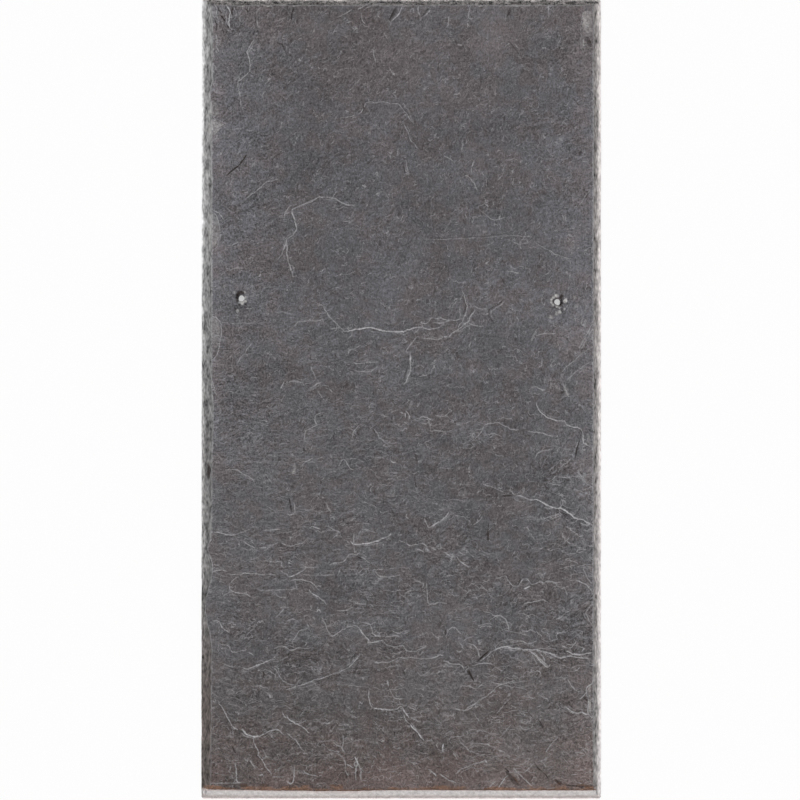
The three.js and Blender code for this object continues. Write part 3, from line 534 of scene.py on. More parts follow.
    ("S", 0.38, 0.1, 453,753, 456,757, 458,760),
    ("S", 0.42, 0.12, 459,739, 463,744, 467,748, 469,751),
    ("S", 0.6, 0.12, 431,771, 434,774, 436,776),
    ("N", 0.58, 0.15, 440,774, 444,777, 449,780, 454,781, 456,783),
    ("S", 0.46, 0.15, 456,774, 458,771.5, 460,770, 464,768, 470,766, 475,764, 480,763, 485,761),
    ("W", 0.7, 0.08, 485,760, 487,763),
    ("S", 0.36, 0.06, 338,725, 343,724.5, 349,725),
    ("S", 0.28, 0.06, 338,729, 344,728.5, 349,729),
    ("W", -0.7, 0.12, 394.5,731, 394.5,736),
    ("W", -0.5, 0.12, 449,748, 451,754),
    ("S", 0.46, 0.12, 455,709, 459,710, 464,711, 469,709, 473,706),
    ("S", 0.28, 0.1, 445,714, 447,716, 452,715, 456,713),
    ("W", 0.34, 0.12, 497,713, 500,710, 503,706, 505,703, 508,699),
    ("W", -0.7, 0.2, 504.5,706, 508,702, 511.5,699.5),
    ("S", 0.3, 0.12, 500,737, 504,733, 508,728, 512,724),
    ("S", -0.4, 0.12, 502,738, 506,733.5, 510,729),
    ("W", 0.38, 0.1, 474,713, 476,717, 479,721),
    ("W", -0.7, 0.12, 513.5,724, 515,726.5),
    ("W", -0.8, 0.12, 522,730.5, 524.5,732),
    ("S", 0.4, 0.1, 520,726, 522,728.5, 525,730, 529,729),
    ("W", -0.6, 0.12, 527,711, 530,714.5, 533,718),
    ("W", -0.7, 0.15, 539,720, 542,725, 544,730.5),
    ("W", -0.65, 0.15, 534,762, 538,768, 541,770.5, 546,775, 548.5,779),
    ("S", -0.5, 0.1, 524,749.5, 530,752),
    ("S", 0.3, 0.1, 527,693, 531,697, 534,699),
    ("S", 0.42, 0.12, 539,696, 544,698, 548,700),
    ("S", 0.56, 0.25, 565,707, 569,710, 573,712, 578,713, 582,712, 586,714, 590,715),
    ("W", 0.42, 0.12, 546,752, 549,747, 553,743, 556,739),
    ("W", 0.34, 0.1, 540,761, 543,763, 546,767),
    ("S", 0.34, 0.1, 523,773, 528,769, 531,766, 536,762),
    ("W", 0.6, 0.2, 498,789, 500,785, 504,780, 508,775.5),
    ("W", 0.4, 0.1, 489,788, 493,784, 496,781),
    ("S", -0.85, 0.2, 505,768, 509,772),
    ("S", 0.5, 0.12, 514,768, 517,772, 521,776, 526,781, 530,785, 535,788),
    # margins
    ("W", 0.3, 0.7, 212,117, 218,120, 225,124, 219,129, 213,136),
    ("W", 0.45, 0.5, 212,212, 216,215, 219,222, 220,232, 218,243, 212,251),
    ("W", 0.6, 0.7, 211,315, 216,317.5, 220,321, 221,325, 221,333, 220,340, 219,349, 216,356, 211,360),
    ("W", 0.45, 0.15, 207,324, 209,329, 212,334),
    ("E", 0.42, 0.4, 590,11, 584,12, 582,18, 581.5,26, 581.3,32, 581,40, 581.5,47, 583,52),
    ("E", 0.5, 0.05, 583.6,39, 584,46),
    ("W", 0.5, 0.2, 212,380, 215,390, 217,395),
    ("W", 0.42, 0.08, 343,757, 346,763, 345,770, 348,776),
    ("W", 0.4, 0.08, 358,757, 354,764, 357,770, 355,777),
    ("W", 0.36, 0.06, 362,768, 360,775, 362,781),
    ("S", 0.36, 0.06, 326,755, 333,753, 340,755, 345,759),
    ("E", 0.4, 0.15, 580,205, 585,197, 590,190),
    ("E", 0.55, 0.45, 593,320, 589,330, 586,337, 582,343, 579,348),
    ("E", 0.45, 0.15, 597,322, 591,332, 586,341, 581,349),
    ("E", 0.4, 0.1, 562,372, 570,364, 578,357, 590,348),
    ("E", 0.4, 0.1, 568,379, 577,371, 590,362),
    ("E", 0.5, 0.35, 578,470, 583,478, 588,484, 594,486),
    ("E", 0.45, 0.25, 588,490, 591,497, 594,503),
    ("E", 0.5, 0.4, 583,567, 585,573, 588,578, 592,583, 597,585),
    ("E", 0.55, 0.5, 593,602, 589,608, 586,613, 589,619, 593,626),
    ("E", 0.75, 0.5, 593,683, 588,687, 587,694, 589,701, 588,708, 589,714, 593,718),
    ("E", -0.7, 0.15, 583,697, 587,701),
    ("W", -0.7, 0.2, 208,465, 209,472, 209,478),
    ("S", -0.7, 0.1, 565,785, 580,786.5, 597,786),
    ("S", 0.4, 0.05, 212,783.5, 226,783.5, 239,783),
]

# Spots where a flake has come away: how pale, or dark below 0, then the points of a convex outline.
flakes = [
    (0.26, 214,118.6, 224.9,123.7, 219.5,130, 214.7,135, 207,134, 206,124),
    (0.14, 212,100, 216,102, 219,108, 219,114, 214,118, 207,112),
    (0.16, 207,214, 213,213, 219,222, 220,234, 216,246, 208,250, 205,232),
    (0.14, 212,317, 216,318, 220,322, 220.5,333, 219,346, 214,350, 210,336),
    (-0.75, 206,463, 210,466, 210.5,474, 209,480, 206.5,477),
    (-0.35, 205,420, 209,428, 208,440, 205,436),
    # dark chips along the head's edge, painted dark as the shade in them
    (-0.8, 241,3, 251,2.8, 251,4.6, 242,4.8),
    (-0.7, 287,3, 297,3, 296,4.8, 288,4.6),
    (-0.85, 312,1.6, 322,1.4, 324,3.8, 314,3.8),
    (-0.8, 272.5,0.9, 275.5,0.9, 275.8,3.4, 273,3.4),
    (-0.75, 341,2.6, 353,2.8, 351,4.6, 343,4.6),
    (-0.85, 417,2.4, 424,2.8, 423,5, 418,4.6),
    (-0.75, 443,0.6, 451,0.8, 450,2.4, 444,2.4),
    (-0.65, 478,2.8, 487,3, 486,4.8, 479,4.6),
    (-0.9, 510,1.6, 521,1.2, 519,3.8, 512,4),
    (-0.6, 530,3, 540,3.2, 539,4.8, 531,4.8),
    (-0.9, 564,1, 575,1.2, 573,3.4, 566,3.6),
    (0.19, 582,12, 592,11, 592.5,20, 592,31, 587,33, 582,29),
    (0.17, 582.5,15, 588,16, 588.5,26, 583,27),
    (0.07, 581.3,30, 592,31, 592,50, 583,52, 581,44),
    (-0.9, 586,36, 589,37, 591.5,42, 592,47, 588.5,46.5, 586,41),
    (-0.35, 584,35, 586,36, 586,42, 584.5,42),
    (0.13, 563,384, 567,384, 570,392, 569.5,399, 566,397, 563.5,390),
    (-0.22, 558,392, 562,393, 562,402, 559,401),
    (0.32, 294,460, 296.5,469, 295.5,474, 291,474.5, 290.5,470, 293,466),
    (0.14, 532,652, 540,657, 549,667, 545,668, 536,659),
    (-0.8, 465,672, 469,668, 471,672, 475,681, 471.5,681.5, 468,674.5),
    (0.25, 366.5,640.5, 371,641, 371.5,644, 367,643.5),
    (0.08, 333,740, 338,741, 341,747, 336,747),
    (0.08, 212,738, 218,739, 219,744, 213,745),
    (0.1, 250,760, 253.5,762, 255,767, 251,766),
    (0.07, 580,600, 590,601, 589,607, 581,606),
    (0.2, 588,684, 591.5,686, 591,700, 588,697),
    (0.36, 587.5,701, 591.5,700, 591.5,714, 588.5,712),
    (-0.85, 583,696.5, 585,696, 588.5,700, 587.5,702),
    (-0.8, 595,594, 597.5,595.5, 597.5,599.5, 595,599),
    (0.28, 588.5,768, 591.5,768, 591.5,783, 589.5,783),
    (0.2, 586,430, 590,436, 591,446, 587,442),
    (-0.75, 504,771, 508,771, 521,785.5, 518,787, 511,782),
    (-0.7, 554,778, 561,780.5, 563,786, 558.5,785.5, 555,782),
    (-0.45, 394,5.5, 398.5,6.5, 396,13, 392,20.5, 388,22, 387,18, 392,11),
    (-0.3, 508,9, 511.5,9.5, 509.5,14, 506.5,18, 506,14),
    (-0.55, 202.5,786.5, 224,786.5, 223,789, 203,789.5),
    (-0.75, 229,789, 233,785.5, 237,783.3, 238,784.3, 233,788),
    # pale strips along the head's arris, partly pale broken stone and partly a painted highlight
    (0.4, 237,5.3, 247,5.3, 247.5,6.9, 237,6.9),
    (0.55, 263,5.2, 272,5.2, 272.5,7.0, 263,7.0),
    (0.35, 288,5.3, 300,5.3, 300,6.9, 288,6.9),
    (0.35, 476,5.3, 483,5.3, 483,6.9, 476,6.9),
    (0.4, 504,5.3, 530,5.1, 530,6.8, 504,6.9),
    (0.4, 563,5.2, 585,5.2, 585,6.8, 563,6.8),
    (-0.6, 239,783.5, 247,784.5, 250,788, 240,788),
    (-0.5, 258,783.5, 268,783.5, 271,786.5, 260,787),
    (-0.4, 277,785.5, 290,785, 300,788, 284,789.5),
    (-0.45, 563,787, 594,786.5, 594,789, 566,789.5),
]
flakeEdge = 0.45  # mm over which a flake's tone comes up

# Where rust has crept up from the tail, in the same terms.
rustPatches = [
    (0.9, 202,785.6, 212,785, 222,786, 223,789.4, 203,789.6),
    (-0.6, 211,786.8, 219,786.6, 219.5,788.6, 211,788.8),
    (-0.6, 240,783.2, 247.5,783.6, 248,787, 240,787.6),
    (0.8, 240,786.4, 250,786, 252,789.2, 241,789.6),
    (-0.6, 257.5,784.2, 267,783.8, 268.5,787.6, 258.5,788),
    (0.8, 262,787, 272,786.6, 274,789.6, 262,789.8),
    (0.9, 280,786, 297,785.6, 299,790, 281,790.2),
    (0.8, 300,785, 312,784.6, 313,789.6, 301,790),
    (1.0, 329,784.2, 343,784, 344,790.4, 330,790.6),
    (-0.5, 331,786, 342,786, 342,788, 331,788),
    (0.7, 350,787.4, 385,787.8, 386,789.8, 351,790.2),
    (0.6, 418,785, 444,784.6, 470,785.6, 471,789.6, 419,789.8),
    (0.6, 484,787, 505,787.4, 505,789.4, 485,789.6),
    (-0.7, 510,774, 512,773.6, 522,785.6, 519.5,786.4),
    (-0.8, 553,780, 556,778.4, 563,785, 560.5,786.6),
    (0.5, 550,784, 566,784, 567,789, 551,789.4),
    (-0.9, 574,784, 591,783.6, 591,786.2, 575,786.4),
    (1.0, 584,786.2, 596,786, 596,789.6, 585,789.8),
]
rustReach = 4.5  # mm from the tail's arris that the rust creeps up the face
rustFree = (0.45, 0.25)  # reflectance of the side with no rust at all, and with all of it

# Soft clouds in the stone: middle, half widths in mm, how much paler, how much warmer.
clouds = [
    (494,38, 23,38, 0.48, 0.0),
    (552,30, 32,18, 0.10, 0.0),
    (372,75, 60,48, 0.0, 0.8),
    (308,95, 22,16, -0.10, 0.2),
    (234,60, 26,50, 0.0, -0.5),
    (268,45, 22,26, 0.14, 0.0),
    (234,140, 17,64, 0.20, -0.2),
    (532,134, 18,15, -0.13, 0.3),
    (480,168, 34,18, 0.18, 0.0),
    (345,205, 16,12, -0.18, 0.0),
    (568,268, 17,30, 0.24, 0.0),
    (456,276, 20,16, 0.13, 0.0),
    (382,312, 44,14, 0.10, 0.0),
    (568,350, 17,18, 0.30, 0.1),
    (234,350, 17,18, 0.26, 0.0),
    (234,422, 17,18, -0.17, 0.0),
    (420,422, 18,14, 0.13, -0.1),
    (290,458, 44,18, 0.17, 0.0),
    (548,480, 32,24, -0.20, 0.0),
    (474,528, 34,18, -0.24, 0.0),
    (290,566, 44,16, 0.14, 0.0),
    (446,614, 38,30, 0.20, -0.2),
    (234,645, 22,24, -0.10, 0.0),
    (296,660, 38,32, -0.20, 0.0),
    (308,708, 20,20, -0.16, 0.0),
    (496,712, 24,22, -0.20, 0.2),
    (532,742, 22,16, -0.13, 0.0),
    (568,740, 17,24, 0.0, -0.5),
    (234,755, 17,30, 0.14, -0.4),
    (308,772, 20,14, -0.12, 0.3),
    (408,780, 46,18, 0.25, 0.4),
]

nailHoles = {  # punched through from the face, which broke away round them
    "radius": 1.95,
    "points": 28,
    "lobes": (3, 0.05),  # how many times a hole bulges, and by what share of the radius
    "grain": 0.5,  # step of the mesh round a hole
    "grainSeed": 8,
    "clear": 1.15,  # where that mesh begins, in radii
    "reach": 9.0,  # where it ends
    "pitPower": 1.5,  # how steeply a pit falls
    "markEdge": 2.2,  # how sharply a mark ends
    "left": {
        "at": (241.1, 298.2),
        # each pit: its middle on the grid, its radius and its depth in mm
        "pits": [(240.2,296.2, 2.6, 3.4), (244.5,300.0, 3.0, 1.6), (238.0,304.5, 3.2, 0.7),
                 (227.0,307.0, 2.6, 0.35), (237.0,310.0, 1.6, 0.3)],
        # each mark: its middle on the grid, its radius in mm and its tone; below 0 it is painted shadow on a
        # spall's shaded wall, above 0 partly pale broken stone and partly painted light on its lit wall
        "marks": [(237.2,295.2, 1.3, -1.0), (236.9,297.8, 1.1, -1.0), (237.4,300.4, 1.0, -1.0),
                  (238.6,292.8, 1.5, -1.0), (240.8,292.4, 1.5, -1.0), (242.7,293.2, 1.0, -1.0),
                  (244.4,292.0, 0.9, 0.45), (245.4,297.6, 1.0, 0.45), (245.0,301.6, 1.3, 0.7),
                  (242.6,302.8, 1.5, 0.75), (240.2,302.4, 1.1, 0.5), (245.6,304.2, 1.0, -0.9),
                  (239.4,304.6, 0.9, -0.9), (244.5,307.0, 0.9, -0.8), (241.0,308.0, 0.8, -0.6),
                  (235.2,308.4, 0.9, -0.7), (237.4,307.4, 0.7, -0.5), (237.5,310.8, 1.3, 0.35),
                  (258.8,293.3, 0.8, 0.6), (234.6,292.6, 1.1, 0.3), (226.4,286.6, 1.2, 0.40),
                  (227.2,288.4, 0.9, -0.6)],
    },
    "right": {
        "at": (557.6, 301.9),
        "pits": [(559.4,300.4, 3.2, 3.0), (565.6,301.3, 2.2, 1.5), (558.6,312.6, 2.2, 0.8),
                 (560.6,307.0, 3.4, 0.7)],
        "marks": [(561.0,297.6, 1.3, -1.0), (562.0,295.8, 1.2, -1.0), (561.6,300.0, 0.8, -0.9),
                  (561.8,303.0, 0.9, -0.9), (560.4,305.0, 1.1, -1.0), (553.2,300.8, 1.0, -0.6),
                  (551.4,302.4, 1.0, 0.65), (551.8,299.8, 1.0, 0.6), (553.6,297.4, 1.1, 0.65),
                  (556.6,295.8, 1.5, 0.5), (552.8,305.0, 1.0, 0.5), (565.2,301.4, 1.5, 0.75),
                  (566.0,300.2, 1.2, 0.7), (568.4,299.6, 0.9, -0.7), (567.8,303.6, 0.8, -0.5),
                  (556.6,307.0, 1.0, 0.55), (559.6,307.4, 1.0, 0.55), (554.6,307.6, 0.8, -0.5),
                  (557.4,309.0, 1.2, -0.4), (561.6,308.6, 0.8, -0.4), (564.6,309.0, 0.9, 0.4),
                  (557.0,313.4, 1.6, 0.3), (559.8,312.2, 1.4, 0.5), (554.8,312.8, 0.8, -0.4),
                  (562.6,311.8, 0.8, -0.5), (550.2,318.0, 0.8, 0.5), (574.0,297.6, 1.0, 0.3),
                  (575.2,306.6, 0.8, 0.3)],
    },
}


class Wire:
    # one output socket that can be used in an expression
    def __init__(self, graph, socket):
        self.graph = graph
        self.socket = socket

    def maths(self, operation, *others):
        return self.graph.maths(operation, self, *others)

    def __add__(self, other):
        return self.maths("ADD", other)

    def __radd__(self, other):
        return self.graph.maths("ADD", other, self)

    def __sub__(self, other):
        return self.maths("SUBTRACT", other)

    def __rsub__(self, other):
        return self.graph.maths("SUBTRACT", other, self)

    def __mul__(self, other):
        return self.maths("MULTIPLY", other)

    def __rmul__(self, other):
        return self.graph.maths("MULTIPLY", other, self)

    def __truediv__(self, other):
        return self.maths("DIVIDE", other)

    def __rtruediv__(self, other):
        return self.graph.maths("DIVIDE", other, self)

    def __lt__(self, other):
        return self.maths("LESS_THAN", other)

    def __abs__(self):
        return self.maths("ABSOLUTE")


class Graph:
    # a shader or geometry node tree that is written as expressions
    def __init__(self, tree):
        self.tree = tree

    def node(self, kind, settings=None, values=None, output=0):
        made = self.tree.nodes.new(kind)
        for name, value in (settings or {}).items():
            if name == "stops":
                self.setStops(made.color_ramp, value)
            else:
                setattr(made, name, value)
        for slot, value in (values or {}).items():
            if isinstance(value, Wire):
                self.tree.links.new(value.socket, made.inputs[slot])
            else:
                made.inputs[slot].default_value = value
        return Wire(self, made.outputs[output]) if made.outputs else made

    def setStops(self, ramp, stops):
        while len(ramp.elements) < len(stops):
            ramp.elements.new(1.0)
        for element, (place, colour) in zip(ramp.elements, stops):
            element.position = place
            element.color = colour

    def maths(self, operation, *terms):
        return self.node("ShaderNodeMath", {"operation": operation}, dict(enumerate(terms)))

    def vectors(self, operation, *terms):
        return self.node("ShaderNodeVectorMath", {"operation": operation}, dict(enumerate(terms)))

    def attribute(self, name):
        return self.node("ShaderNodeAttribute", {"attribute_name": name}, output="Fac")

    def noise(self, at, scale=1.0, detail=2.0, roughness=0.5):
        values = {"Vector": at, "Scale": scale, "Detail": detail, "Roughness": roughness}
        return self.node("ShaderNodeTexNoise", {"noise_dimensions": "2D"}, values)

    def push(self, at, scale, detail, reach):
        # a soft random shift, up to half the reach each way
        values = {"Vector": at, "Scale": scale, "Detail": detail}
        cloud = self.node("ShaderNodeTexNoise", {"noise_dimensions": "2D"}, values, output="Color")
        return self.vectors("MULTIPLY", self.vectors("SUBTRACT", cloud, (0.5, 0.5, 0.5)), (reach,) * 3)

    def ramp(self, value, low, high, start=0.0, end=1.0):
        values = {"Value": value, "From Min": low, "From Max": high, "To Min": start, "To Max": end}
        return self.node("ShaderNodeMapRange", {"interpolation_type": "SMOOTHSTEP"}, values)

    def blend(self, factor, first, second, mode="MIX"):
        settings = {"data_type": "RGBA", "blend_type": mode, "clamp_factor": True}
        return self.node("ShaderNodeMix", settings, {0: factor, 6: first, 7: second}, output=2)


def fromSurvey(points):
    pitch, (column, row) = survey["pitch"], survey["middle"]
    read = np.array(points, float).reshape(-1, 2)
    return np.column_stack(((read[:, 0] - column) * pitch, (row - read[:, 1]) * pitch))


def ragged(at, step, seed):
    # a broken line through random heights from 0 to 1, one at every step
    knots = np.random.default_rng(seed).random(int(np.max(at) / step) + 3)
    return np.interp(at / step, np.arange(len(knots)), knots)


def smoothLine(points, step):
    # a curve through the points, half way from straight pieces to a Catmull-Rom spline
    ends = np.vstack((2 * points[0] - points[1], points, 2 * points[-1] - points[-2]))
    made = []
    for a, b, c, d in zip(ends, ends[1:], ends[2:], ends[3:]):
        count = max(1, round(np.linalg.norm(c - b) / step))
        t = (np.arange(count) / count)[:, None]
        bend, twist = 2 * a - 5 * b + 4 * c - d, 3 * b - a - 3 * c + d
        spline = 0.5 * (2 * b + (c - a) * t + bend * t**2 + twist * t**3)
        made.append((spline + b + (c - b) * t) / 2)
    return np.vstack(made + [points[-1:]])


def makeSides():
    half, end = slate["width"] / 2, slate["length"] / 2
    corners = np.array([(-half, -end), (half, -end), (half, end), (slate["headSetIn"] - half, end)])
    made = []
    for start, stop, (name, finish) in zip(corners, np.roll(corners, -1, axis=0), dressedSides.items()):
        span = np.linalg.norm(stop - start)
        along = (stop - start) / span
        stations = np.linspace(0, span, round(span / meshing["station"]) + 1)
        side = dict(finish, name=name, start=start, along=along, inward=np.array([-along[1], along[0]]),
                    span=span, stations=stations)
        dressSide(side)
        made.append(side)
    return made


def dressSide(side):
    # the plan inset of the lip and of each lamina's front, as chiselled off along the side
    at, seed = side["stations"], side["seed"]
    largeStep, smallStep = chisel["chips"]
    large = np.clip(ragged(at, largeStep, seed) - chisel["chipFrom"], 0, 1) / (1 - chisel["chipFrom"])
    chips = large + chisel["smallChip"] * ragged(at, smallStep, seed + 1)
    insets = [side["chip"] * np.clip(chips - chisel["lipKept"], 0, 1)]
    reach = np.full(len(at), side["bevel"])
    if "arris" in side:
        reach = np.interp(at, *onSide(side, fromSurvey(side["arris"])))
    steadier, power = chisel["steadier"]
    tremorStep, tremor = chisel["tremor"]
    for lamina in range(1, side["laminae"] + 1):
        share = lamina / side["laminae"]
        loose = side["wander"] * (1 - steadier * share**power)
        slow, quick = (size * ragged(at, step, seed + stride * lamina)
                       for step, size, stride in chisel["sways"])
        front = reach * share + loose * (slow + quick - chisel["swayMiddle"])
        front += tremor * (ragged(at, tremorStep, seed + lamina) - 0.5)
        insets.append(np.maximum(insets[-1] + chisel["leastTread"] * meshing["riser"], front))
    side["insets"] = insets
    low, count = side["lip"], side["laminae"]
    side["levels"] = [low + (slate["thickness"] - low) * k / count for k in range(count + 1)]


def onSide(side, plan):
    # how far along the side and how far in from it each point lies
    away = plan - side["start"]
    return away @ side["along"], away @ side["inward"]


def offSide(side, at, deep):
    # the points that lie so far along a side and so far in from it
    return side["start"] + at[:, None] * side["along"] + deep[:, None] * side["inward"]


def dressedHeight(side, plan):
    # height of the bevel under each point
    at, deep = onSide(side, plan)
    height = np.full(len(plan), side["levels"][0])
    riser, least = meshing["riser"], 0.01
    fronts = [np.interp(at, side["stations"], line) for line in side["insets"]]
    for low, high, front, ahead in zip(side["levels"], side["levels"][1:], fronts, fronts[1:]):
        foot = ahead - riser
        share = np.clip((deep - front) / np.maximum(foot - front, least), 0, 1)
        rise = np.clip((deep - foot) / riser, 0, 1)
        climb = side["tread"] * share + (1 - side["tread"]) * rise
        height = np.where(deep >= front, low + (high - low) * climb, height)
    return np.where(deep > fronts[-1], np.inf, height)


edgeBand = {  # rows of points along a scar, in mm from its edge
    "rows": (-1.1, -0.45, 0.0, 0.4, 1.2),
    "thinRows": (-0.45, 0.0, 0.45),  # for a scar with almost no drop
    "thin": 0.1,  # the drop up to which it is one
    "step": 1.15,  # between the points along it
    "foot": 0.4,  # from the edge to the foot of its step
    "far": 1.1,  # points further away are near no scar
    "reach": 13.0,  # how far the low ground runs on, for a drop of 1 less the share below
    "reachShare": 0.35,
    "taper": 0.12,  # share of its length over which each end runs out
    "taperPowers": (0.5, 0.6),  # how fast, for a crack and for a ridge
    "groundPower": 1.4,  # how fast the low ground comes up again
    "endTone": 0.6,  # share of its tone that is left at the ends
}

strands = {  # thin strands that leave a scar and spurs that branch off it
    "toneFrom": 0.44,  # only scars as pale as this have them
    "every": 13.0,  # mm of scar for each one
    "length": (5.0, 19.0),
    "gap": (0.8, 2.6),  # how far a strand has parted from the scar at its loose end
    "gapGrowth": (0.1, 0.7),  # its share at the other end, and the power at which it grows
    "spurLength": (2.5, 7.0),
    "spurTurn": (0.35, 1.1),  # radians away from the scar
    "spurBow": (0.55, 0.3),  # where a spur bends, as a share of its length, and by what angle
    "tone": (0.28, 0.50),  # share of the scar's own tone
    "drop": 0.06,
    "sway": (0.2, 3, 0.11),  # size of its slow waves, points to each, size of its quick ones
    "shortest": 4,  # steps of a line that can sway
    "lead": 3,  # steps of the scar that give a spur its direction
    "seed": 71,
}


def swayed(line, seed):
    slowSize, points, quickSize = strands["sway"]
    random = np.random.default_rng(seed)
    slow = random.normal(0, slowSize, (len(line) // points + 2, 2))
    at = np.arange(len(line)) / points
    sway = np.column_stack([np.interp(at, np.arange(len(slow)), column) for column in slow.T])
    sway += random.normal(0, quickSize, line.shape)
    sway[[0, -1]] = 0
    return line + sway


def strandBeside(beside, side, random):
    # a strand that runs along a stretch of a scar and parts from it
    beside = beside[::random.choice((-1, 1))]
    nearest, power = strands["gapGrowth"]
    gap = side * random.uniform(*strands["gap"]) * np.linspace(nearest, 1, len(beside)) ** power
    return offsetRow(beside, gap[:, None])


def spurFrom(line, begin, side, random):
    # a spur that turns off a scar and bends on the way
    lead = begin + strands["lead"]
    ahead = line[lead] - line[begin] if len(line) > lead else line[-1] - line[0]
    turn = side * random.uniform(*strands["spurTurn"]) + math.atan2(ahead[1], ahead[0])
    length = random.uniform(*strands["spurLength"])
    far = line[begin] + length * np.array([math.cos(turn), math.sin(turn)])
    share, bend = strands["spurBow"]
    bowTurn = turn + bend * side
    bow = line[begin] + length * share * np.array([math.cos(bowTurn), math.sin(bowTurn)])
    return smoothLine(np.array([line[begin], bow, far]), edgeBand["step"])


def strandsOf(line, tone, random):
    # lines that leave a scar on either side: every other one runs beside it, and the rest are spurs
    step = np.linalg.norm(np.diff(line, axis=0), axis=1).mean()
    shortest = strands["shortest"]
    made = []
    for index in range(int(len(line) * step / strands["every"])):
        begin = random.integers(0, max(1, len(line) - shortest))
        side = random.choice((-1, 1))
        pale = tone * random.uniform(*strands["tone"])
        beside = line[begin:begin + int(random.uniform(*strands["length"]) / step)]
        if index % 2 == 0 and len(beside) > shortest + 1:
            path = strandBeside(beside, side, random)
        else:
            path = spurFrom(line, begin, side, random)
        made.append((pale, swayed(path, random.integers(1 << 30))))
    return made


def makeScars(sides):
    compass = {"N": (0, 1), "S": (0, -1), "E": (1, 0), "W": (-1, 0)}
    random = np.random.default_rng(strands["seed"])
    made = []
    for low, tone, drop, *points in scars:
        line = smoothLine(fromSurvey(points), edgeBand["step"])
        if tone > 0 and len(line) > strands["shortest"]:
            line = swayed(line, len(made))
        travel = line[-1] - line[0]
        toLeft = np.array([-travel[1], travel[0]])
        if toLeft @ compass[low] < 0:
            line = line[::-1]
        made.append({"tone": tone, "drop": drop, "line": line})
        if tone > strands["toneFrom"]:
            for pale, path in strandsOf(line, tone, random):
                made.append({"tone": pale, "drop": strands["drop"], "line": path})
    # a line along each arris: where pale, partly pale broken stone and partly a painted highlight
    for side in sides:
        line = offSide(side, side["stations"], side["insets"][-1])
        tone = bevelFinish[side["name"]]["arris"]
        made.append({"tone": tone, "drop": 0.0, "line": line, "side": side["name"]})
    return made


def nearestOn(line, here):
    # for each point: its distance from the line, below 0 to the right of it, and how far along the line it is
    start, run = line[:-1], np.diff(line, axis=0)
    size = (run**2).sum(1)
    share = np.clip(((here[:, None] - start) * run).sum(2) / size, 0, 1)
    foots = start + share[..., None] * run
    away = np.linalg.norm(here[:, None] - foots, axis=2)
    nearest = away.argmin(1)
    rows = np.arange(len(here))
    distance = away[rows, nearest]
    offset = here - foots[rows, nearest]
    direction = run[nearest]
    leftward = direction[:, 0] * offset[:, 1] - direction[:, 1] * offset[:, 0]
    return np.where(leftward >= 0, distance, -distance), (nearest + share[rows, nearest]) / len(run)


def paled(plan):
    return np.interp(plan[:, 1], *zip(*paling))


def scarField(madeScars, plan):
    # for each point: the fall of the ground, how far the nearest scar is, its tone, the shade painted at its
    # foot
    fall = np.zeros(len(plan))
    near = np.full(len(plan), edgeBand["far"])
    tone = np.zeros(len(plan))
    foot = np.zeros(len(plan))
    footWidth, endTone = edgeBand["foot"], edgeBand["endTone"]
    crackPower, ridgePower = edgeBand["taperPowers"]
    for scar in madeScars:
        line, drop = scar["line"], scar["drop"]
        reach = edgeBand["reach"] * (edgeBand["reachShare"] + drop)
        low, high = line.min(0) - reach, line.max(0) + reach
        chosen = np.flatnonzero(((plan > low) & (plan < high)).all(1))
        if len(chosen) == 0:
            continue
        here = plan[chosen]
        signed, progress = nearestOn(line, here)
        distance = np.abs(signed)
        taper = np.clip(np.minimum(progress, 1 - progress) / edgeBand["taper"], 0, 1)
        if scar["tone"] < 0:
            fall[chosen] += drop * taper**crackPower * np.clip(1 - distance / footWidth, 0, 1)
        else:
            ground = np.clip(1 - signed / reach, 0, 1) ** edgeBand["groundPower"]
            fall[chosen] += drop * taper**ridgePower * np.clip(signed / footWidth, 0, 1) * ground
        closer = distance < near[chosen]
        target = chosen[closer]
        near[target] = distance[closer]
        strength = scar["tone"] * (endTone + (1 - endTone) * taper[closer])
        if scar.get("side") == "left":  # its arris loses half of its tone where the side isn't pale
            strength = strength * (1 + paled(here[closer])) / 2
        tone[target] = strength
        # a dark band at the foot of a step, painted as the shade there
        shade = np.clip(1 - np.abs(signed - footWidth) / footWidth, 0, 1)
        foot[target] = shade[closer] * np.abs(strength) * (drop > edgeBand["thin"]) * (scar["tone"] > 0)
    return fall, near, tone, foot


def flakeRing(points, inset):
    # the outline of a flake, sampled and drawn in towards its middle
    least = 0.1
    ring = fromSurvey(points)
    middle = ring.mean(0)
    ring = smoothLine(np.vstack((ring, ring[:1])), meshing["flakeStep"])[:-1]
    reach = np.linalg.norm(ring - middle, axis=1)[:, None]
    return middle + (ring - middle) * np.maximum(1 - inset / reach, least)


def patchTone(plan, patches):
    # the tones of patches with a convex outline
    tone = np.zeros(len(plan))
    for strength, *points in patches:
        ring = fromSurvey(points)
        middle = ring.mean(0)
        inside = np.full(len(plan), np.inf)
        for a, b in zip(ring, np.roll(ring, -1, axis=0)):
            normal = np.array([a[1] - b[1], b[0] - a[0]]) / np.linalg.norm(b - a)
            normal *= np.sign((middle - a) @ normal)
            inside = np.minimum(inside, (plan - a) @ normal)
        tone += strength * np.clip(inside / flakeEdge, 0, 1)
    return tone


def cloudTone(plan):
    # how much paler and how much warmer the soft clouds make each point
    pale, warm = np.zeros(len(plan)), np.zeros(len(plan))
    for column, row, halfWidth, halfLength, paler, warmer in clouds:
        away = np.linalg.norm((plan - fromSurvey((column, row))) / (halfWidth, halfLength), axis=1)
        share = np.clip(1 - away, 0, 1) ** 2 * (1 + 2 * away)
        pale += paler * share
        warm += warmer * share
    return pale, warm


def offsetRow(line, distance):
    run = np.gradient(line, axis=0)
    run /= np.linalg.norm(run, axis=1)[:, None]
    return line + distance * np.column_stack((-run[:, 1], run[:, 0]))


